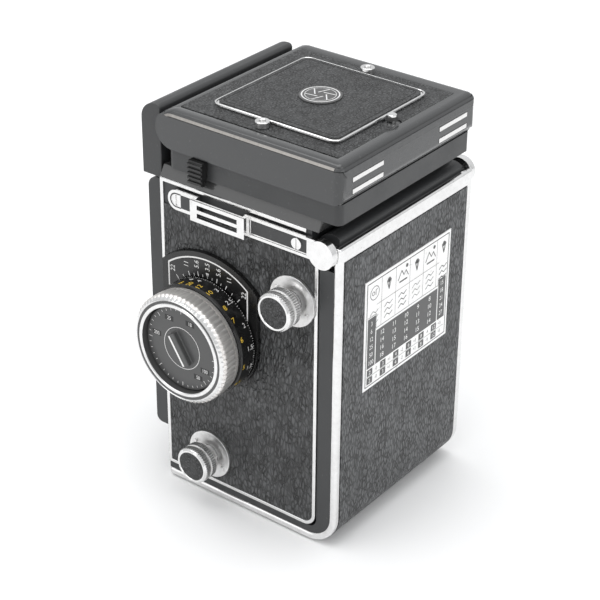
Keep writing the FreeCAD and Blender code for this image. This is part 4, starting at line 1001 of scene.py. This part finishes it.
def makePadEdge():
    # the bright lip round the flap, and a dark line that paints the shade of the fine fold pressed into its
    # pad
    low, high = (Vector(corner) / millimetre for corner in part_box("finder_flap"))
    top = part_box("lid_leather")[1][2] / millimetre
    lip = Vector((lid["lip"], lid["lip"], 0))
    path = roundedPath(low + lip * 0.5, high - lip * 0.5, lid["lipCorner"])
    mesh = wireRing("flap_lip", path, high.z + 0.08, lid["lip"])
    addPiece("flap_lip", mesh, ["chrome"], "hood_lid", "bright_chrome")
    inset = Vector((lid["crease"], lid["crease"], 0))
    ink = Ink()
    ink.stroke(roundedPath(low + inset, high - inset, lid["creaseCorner"]), 0.28, closed=True)
    ink.place("pad_crease_shade", lambda u, v, w: (u, v, top + w), ["insideBlack"], "hood_lid", "leatherette")


finderButton = {"rear": 29.2, "top": 150.0, "foot": 143.4}


def makeFinderButton():
    # turned from its top down
    top, foot = finderButton["top"], finderButton["foot"]
    profile = [(-top, 0.0), (-top, 1.5), (0.15 - top, 1.65), (0.6 - top, 1.7), (0.65 - top, 1.75),
               (1.2 - top, 2.15), (1.7 - top, 2.3), (1.8 - top, 1.5), (-foot, 1.5), (-foot, 0.0)]
    mesh = lathe("finder_button_shown", (0, finderButton["rear"], 0), (0, 0, -1), profile, 64, None,
                 [0, 0, 0, 1, 1, 1, 1, 0, 0])
    addPiece("finder_button_shown", mesh, ["chrome", "plastic"], "finder_button", "bright_chrome",
             ["finder_button"])


def makeStripes():
    refine("lid_stripes", 0.05, ["whitePaint"])
    ink = Ink()
    for side in (-1, 1):
        u0, u1 = sorted((side * lid["stripeLeft"], side * lid["stripeRight"]))
        for top in lid["stripeTops"]:
            low = top - lid["stripeHigh"]
            ink.stroke([(u0, low), (u1, low), (u1, top), (u0, top)], 0.3, closed=True)
    ink.place("stripe_outlines", lambda u, v, w: (u, lid["stripeFace"] + w, v), ["insideBlack"], "hood_lid",
              "black_casting")


def makeHood():
    refine("hood_base", 0.25, ["hoodEnamel"])
    refine("hood_lid", 0.3, ["lidEnamel"], 3, shapeLid)
    makeLidRim()
    refine("lid_leather", 0.4, ["topLeather"], 3)
    makePadEdge()
    refine("finder_flap", 0.3, ["chrome"], 3)
    for node in ("left_hood_flap", "right_hood_flap", "rear_hood_flap"):
        refine(node, 0.1, ["insideBlack"])
    refine("lid_screws", 0.3, ["chrome"], 3)
    refine("magnifier_frame", 0.3, ["plastic"])
    dress("magnifier_lens", "clearGlass")
    for node in ("left_hood_latch", "right_hood_latch"):
        refine(node, 0.12, ["plastic"])
    makeFinderButton()
    makeStripes()
    print("stage: hood")


badge = {"centre": (0.0, 0.3), "face": 149.2, "radius": 6.6, "blades": 6, "twist": 62.0, "opening": 1.9}


def makeBadge():
    # an iris of six blades inside two rings
    refine("lid_badge", 0.2, ["dialGrey"])
    radius = badge["radius"]
    ink = Ink()
    ink.disc(0, 0, radius, inner=radius - 0.45, sides=64)
    ink.disc(0, 0, radius - 1.2, inner=radius - 1.4, sides=64)
    for step in range(badge["blades"]):
        a = 2 * math.pi * step / badge["blades"]
        b = a + math.radians(badge["twist"])
        outer, inner = radius - 1.3, badge["opening"]
        ink.stroke([(outer * math.cos(a), outer * math.sin(a)),
                    (inner * math.cos(b), inner * math.sin(b))], 0.42)
    x, y = badge["centre"]
    ink.place("badge_print", lambda u, v, w: (x - u, y - v, badge["face"] + w), ["plateSilver"], "hood_lid",
              "printed_plate")
    print("stage: badge")


def makeStage():
    tree, shader, point = newMaterial("studioFloor")
    mottle = groupNode(tree, mottleGroup, {"Vector": point, "Scale": 6.0, "Low": 0.45, "High": 0.6})
    tone = mixed(tree, mottle.outputs[0], grey(0.93), grey(0.90))
    feed(tree, shader, {"Base Color": tone, "Roughness": mottle.outputs[0], "Specular IOR Level": 0.2})
    size, cells = 4000.0, 8
    points = [(size * (i / cells - 0.5), size * (j / cells - 0.5), -0.05) for j in range(cells + 1)
              for i in range(cells + 1)]
    row = cells + 1
    faces = [(j * row + i, j * row + i + 1, (j + 1) * row + i + 1, (j + 1) * row + i) for j in range(cells)
             for i in range(cells)]
    floor = bpy.data.objects.new("floor", meshFrom("floor", points, faces))
    floor.data.materials.append(finish["studioFloor"])
    bpy.context.scene.collection.objects.link(floor)
    print("stage: floor")


lights = {"horizon": 0.78, "zenith": 0.95, "tint": (0.98, 0.99, 1.0, 1.0), "aim": (0, 0, 0.07)}
panels = {"topPanel": ((0.1, -0.1, 1.1), (1.0, 1.0), 6.5), "sidePanel": ((1.0, -0.5, 0.5), (0.7, 0.9), 1.4),
          "backPanel": ((0.1, 1.1, 0.6), (0.9, 0.7), 2.2)}


def addLight(name, place, size, energy):
    light = bpy.data.lights.new(name, "AREA")
    light.shape = "RECTANGLE"
    light.size, light.size_y = size
    light.energy = energy
    item = bpy.data.objects.new(name, light)
    item.location = place
    aim = Vector(lights["aim"]) - Vector(place)
    item.rotation_euler = aim.to_track_quat("-Z", "Y").to_euler()
    bpy.context.scene.collection.objects.link(item)


def makeLight():
    # a soft tent that is brighter overhead than at the sides
    world = bpy.data.worlds.new("studio")
    world.use_nodes = True
    tree = world.node_tree
    sky = tree.nodes["Background"]
    height = addNode(tree, "SeparateXYZ", {0: addNode(tree, "TexCoord").outputs["Generated"]}).outputs["Z"]
    strength = spread(tree, height, 0.0, 0.9, lights["horizon"], lights["zenith"])
    feed(tree, sky, {"Color": lights["tint"], "Strength": strength})
    bpy.context.scene.world = world
    bpy.context.scene.view_settings.view_transform = "Standard"
    for name, (place, size, energy) in panels.items():
        addLight(name, place, size, energy)
    print("stage: light")


cameraSet = {"eye": (0.4400, 0.3279, 0.3825), "target": (-0.00019, -0.0073, 0.06609), "roll": 0.52,
             "lens": 106.85, "shift": (-0.0014, 0.0066)}


def makeCamera():
    eye, target = Vector(cameraSet["eye"]), Vector(cameraSet["target"])
    forward = (target - eye).normalized()
    right = forward.cross(Vector((0, 0, 1))).normalized()
    up = right.cross(forward)
    roll = math.radians(cameraSet["roll"])
    turned = right * math.cos(roll) + up * math.sin(roll)
    raised = up * math.cos(roll) - right * math.sin(roll)
    data = bpy.data.cameras.new("view")
    data.lens = cameraSet["lens"]
    data.sensor_width = 36.0
    data.shift_x, data.shift_y = cameraSet["shift"]
    item = bpy.data.objects.new("view", data)
    item.matrix_world = Matrix((turned, raised, -forward)).transposed().to_4x4()
    item.location = eye
    bpy.context.scene.collection.objects.link(item)
    bpy.context.scene.camera = item
    print("stage: camera")


makeShell()
makeLugFields()
makeExposureTable()
makeFocusing()
makeReminder()
makeFilmKnobs()
makeBoard()
makeMeter()
makeCrankSide()
makeHood()
makeBadge()
makeStage()
makeLight()
makeCamera()
print("stage: finish")
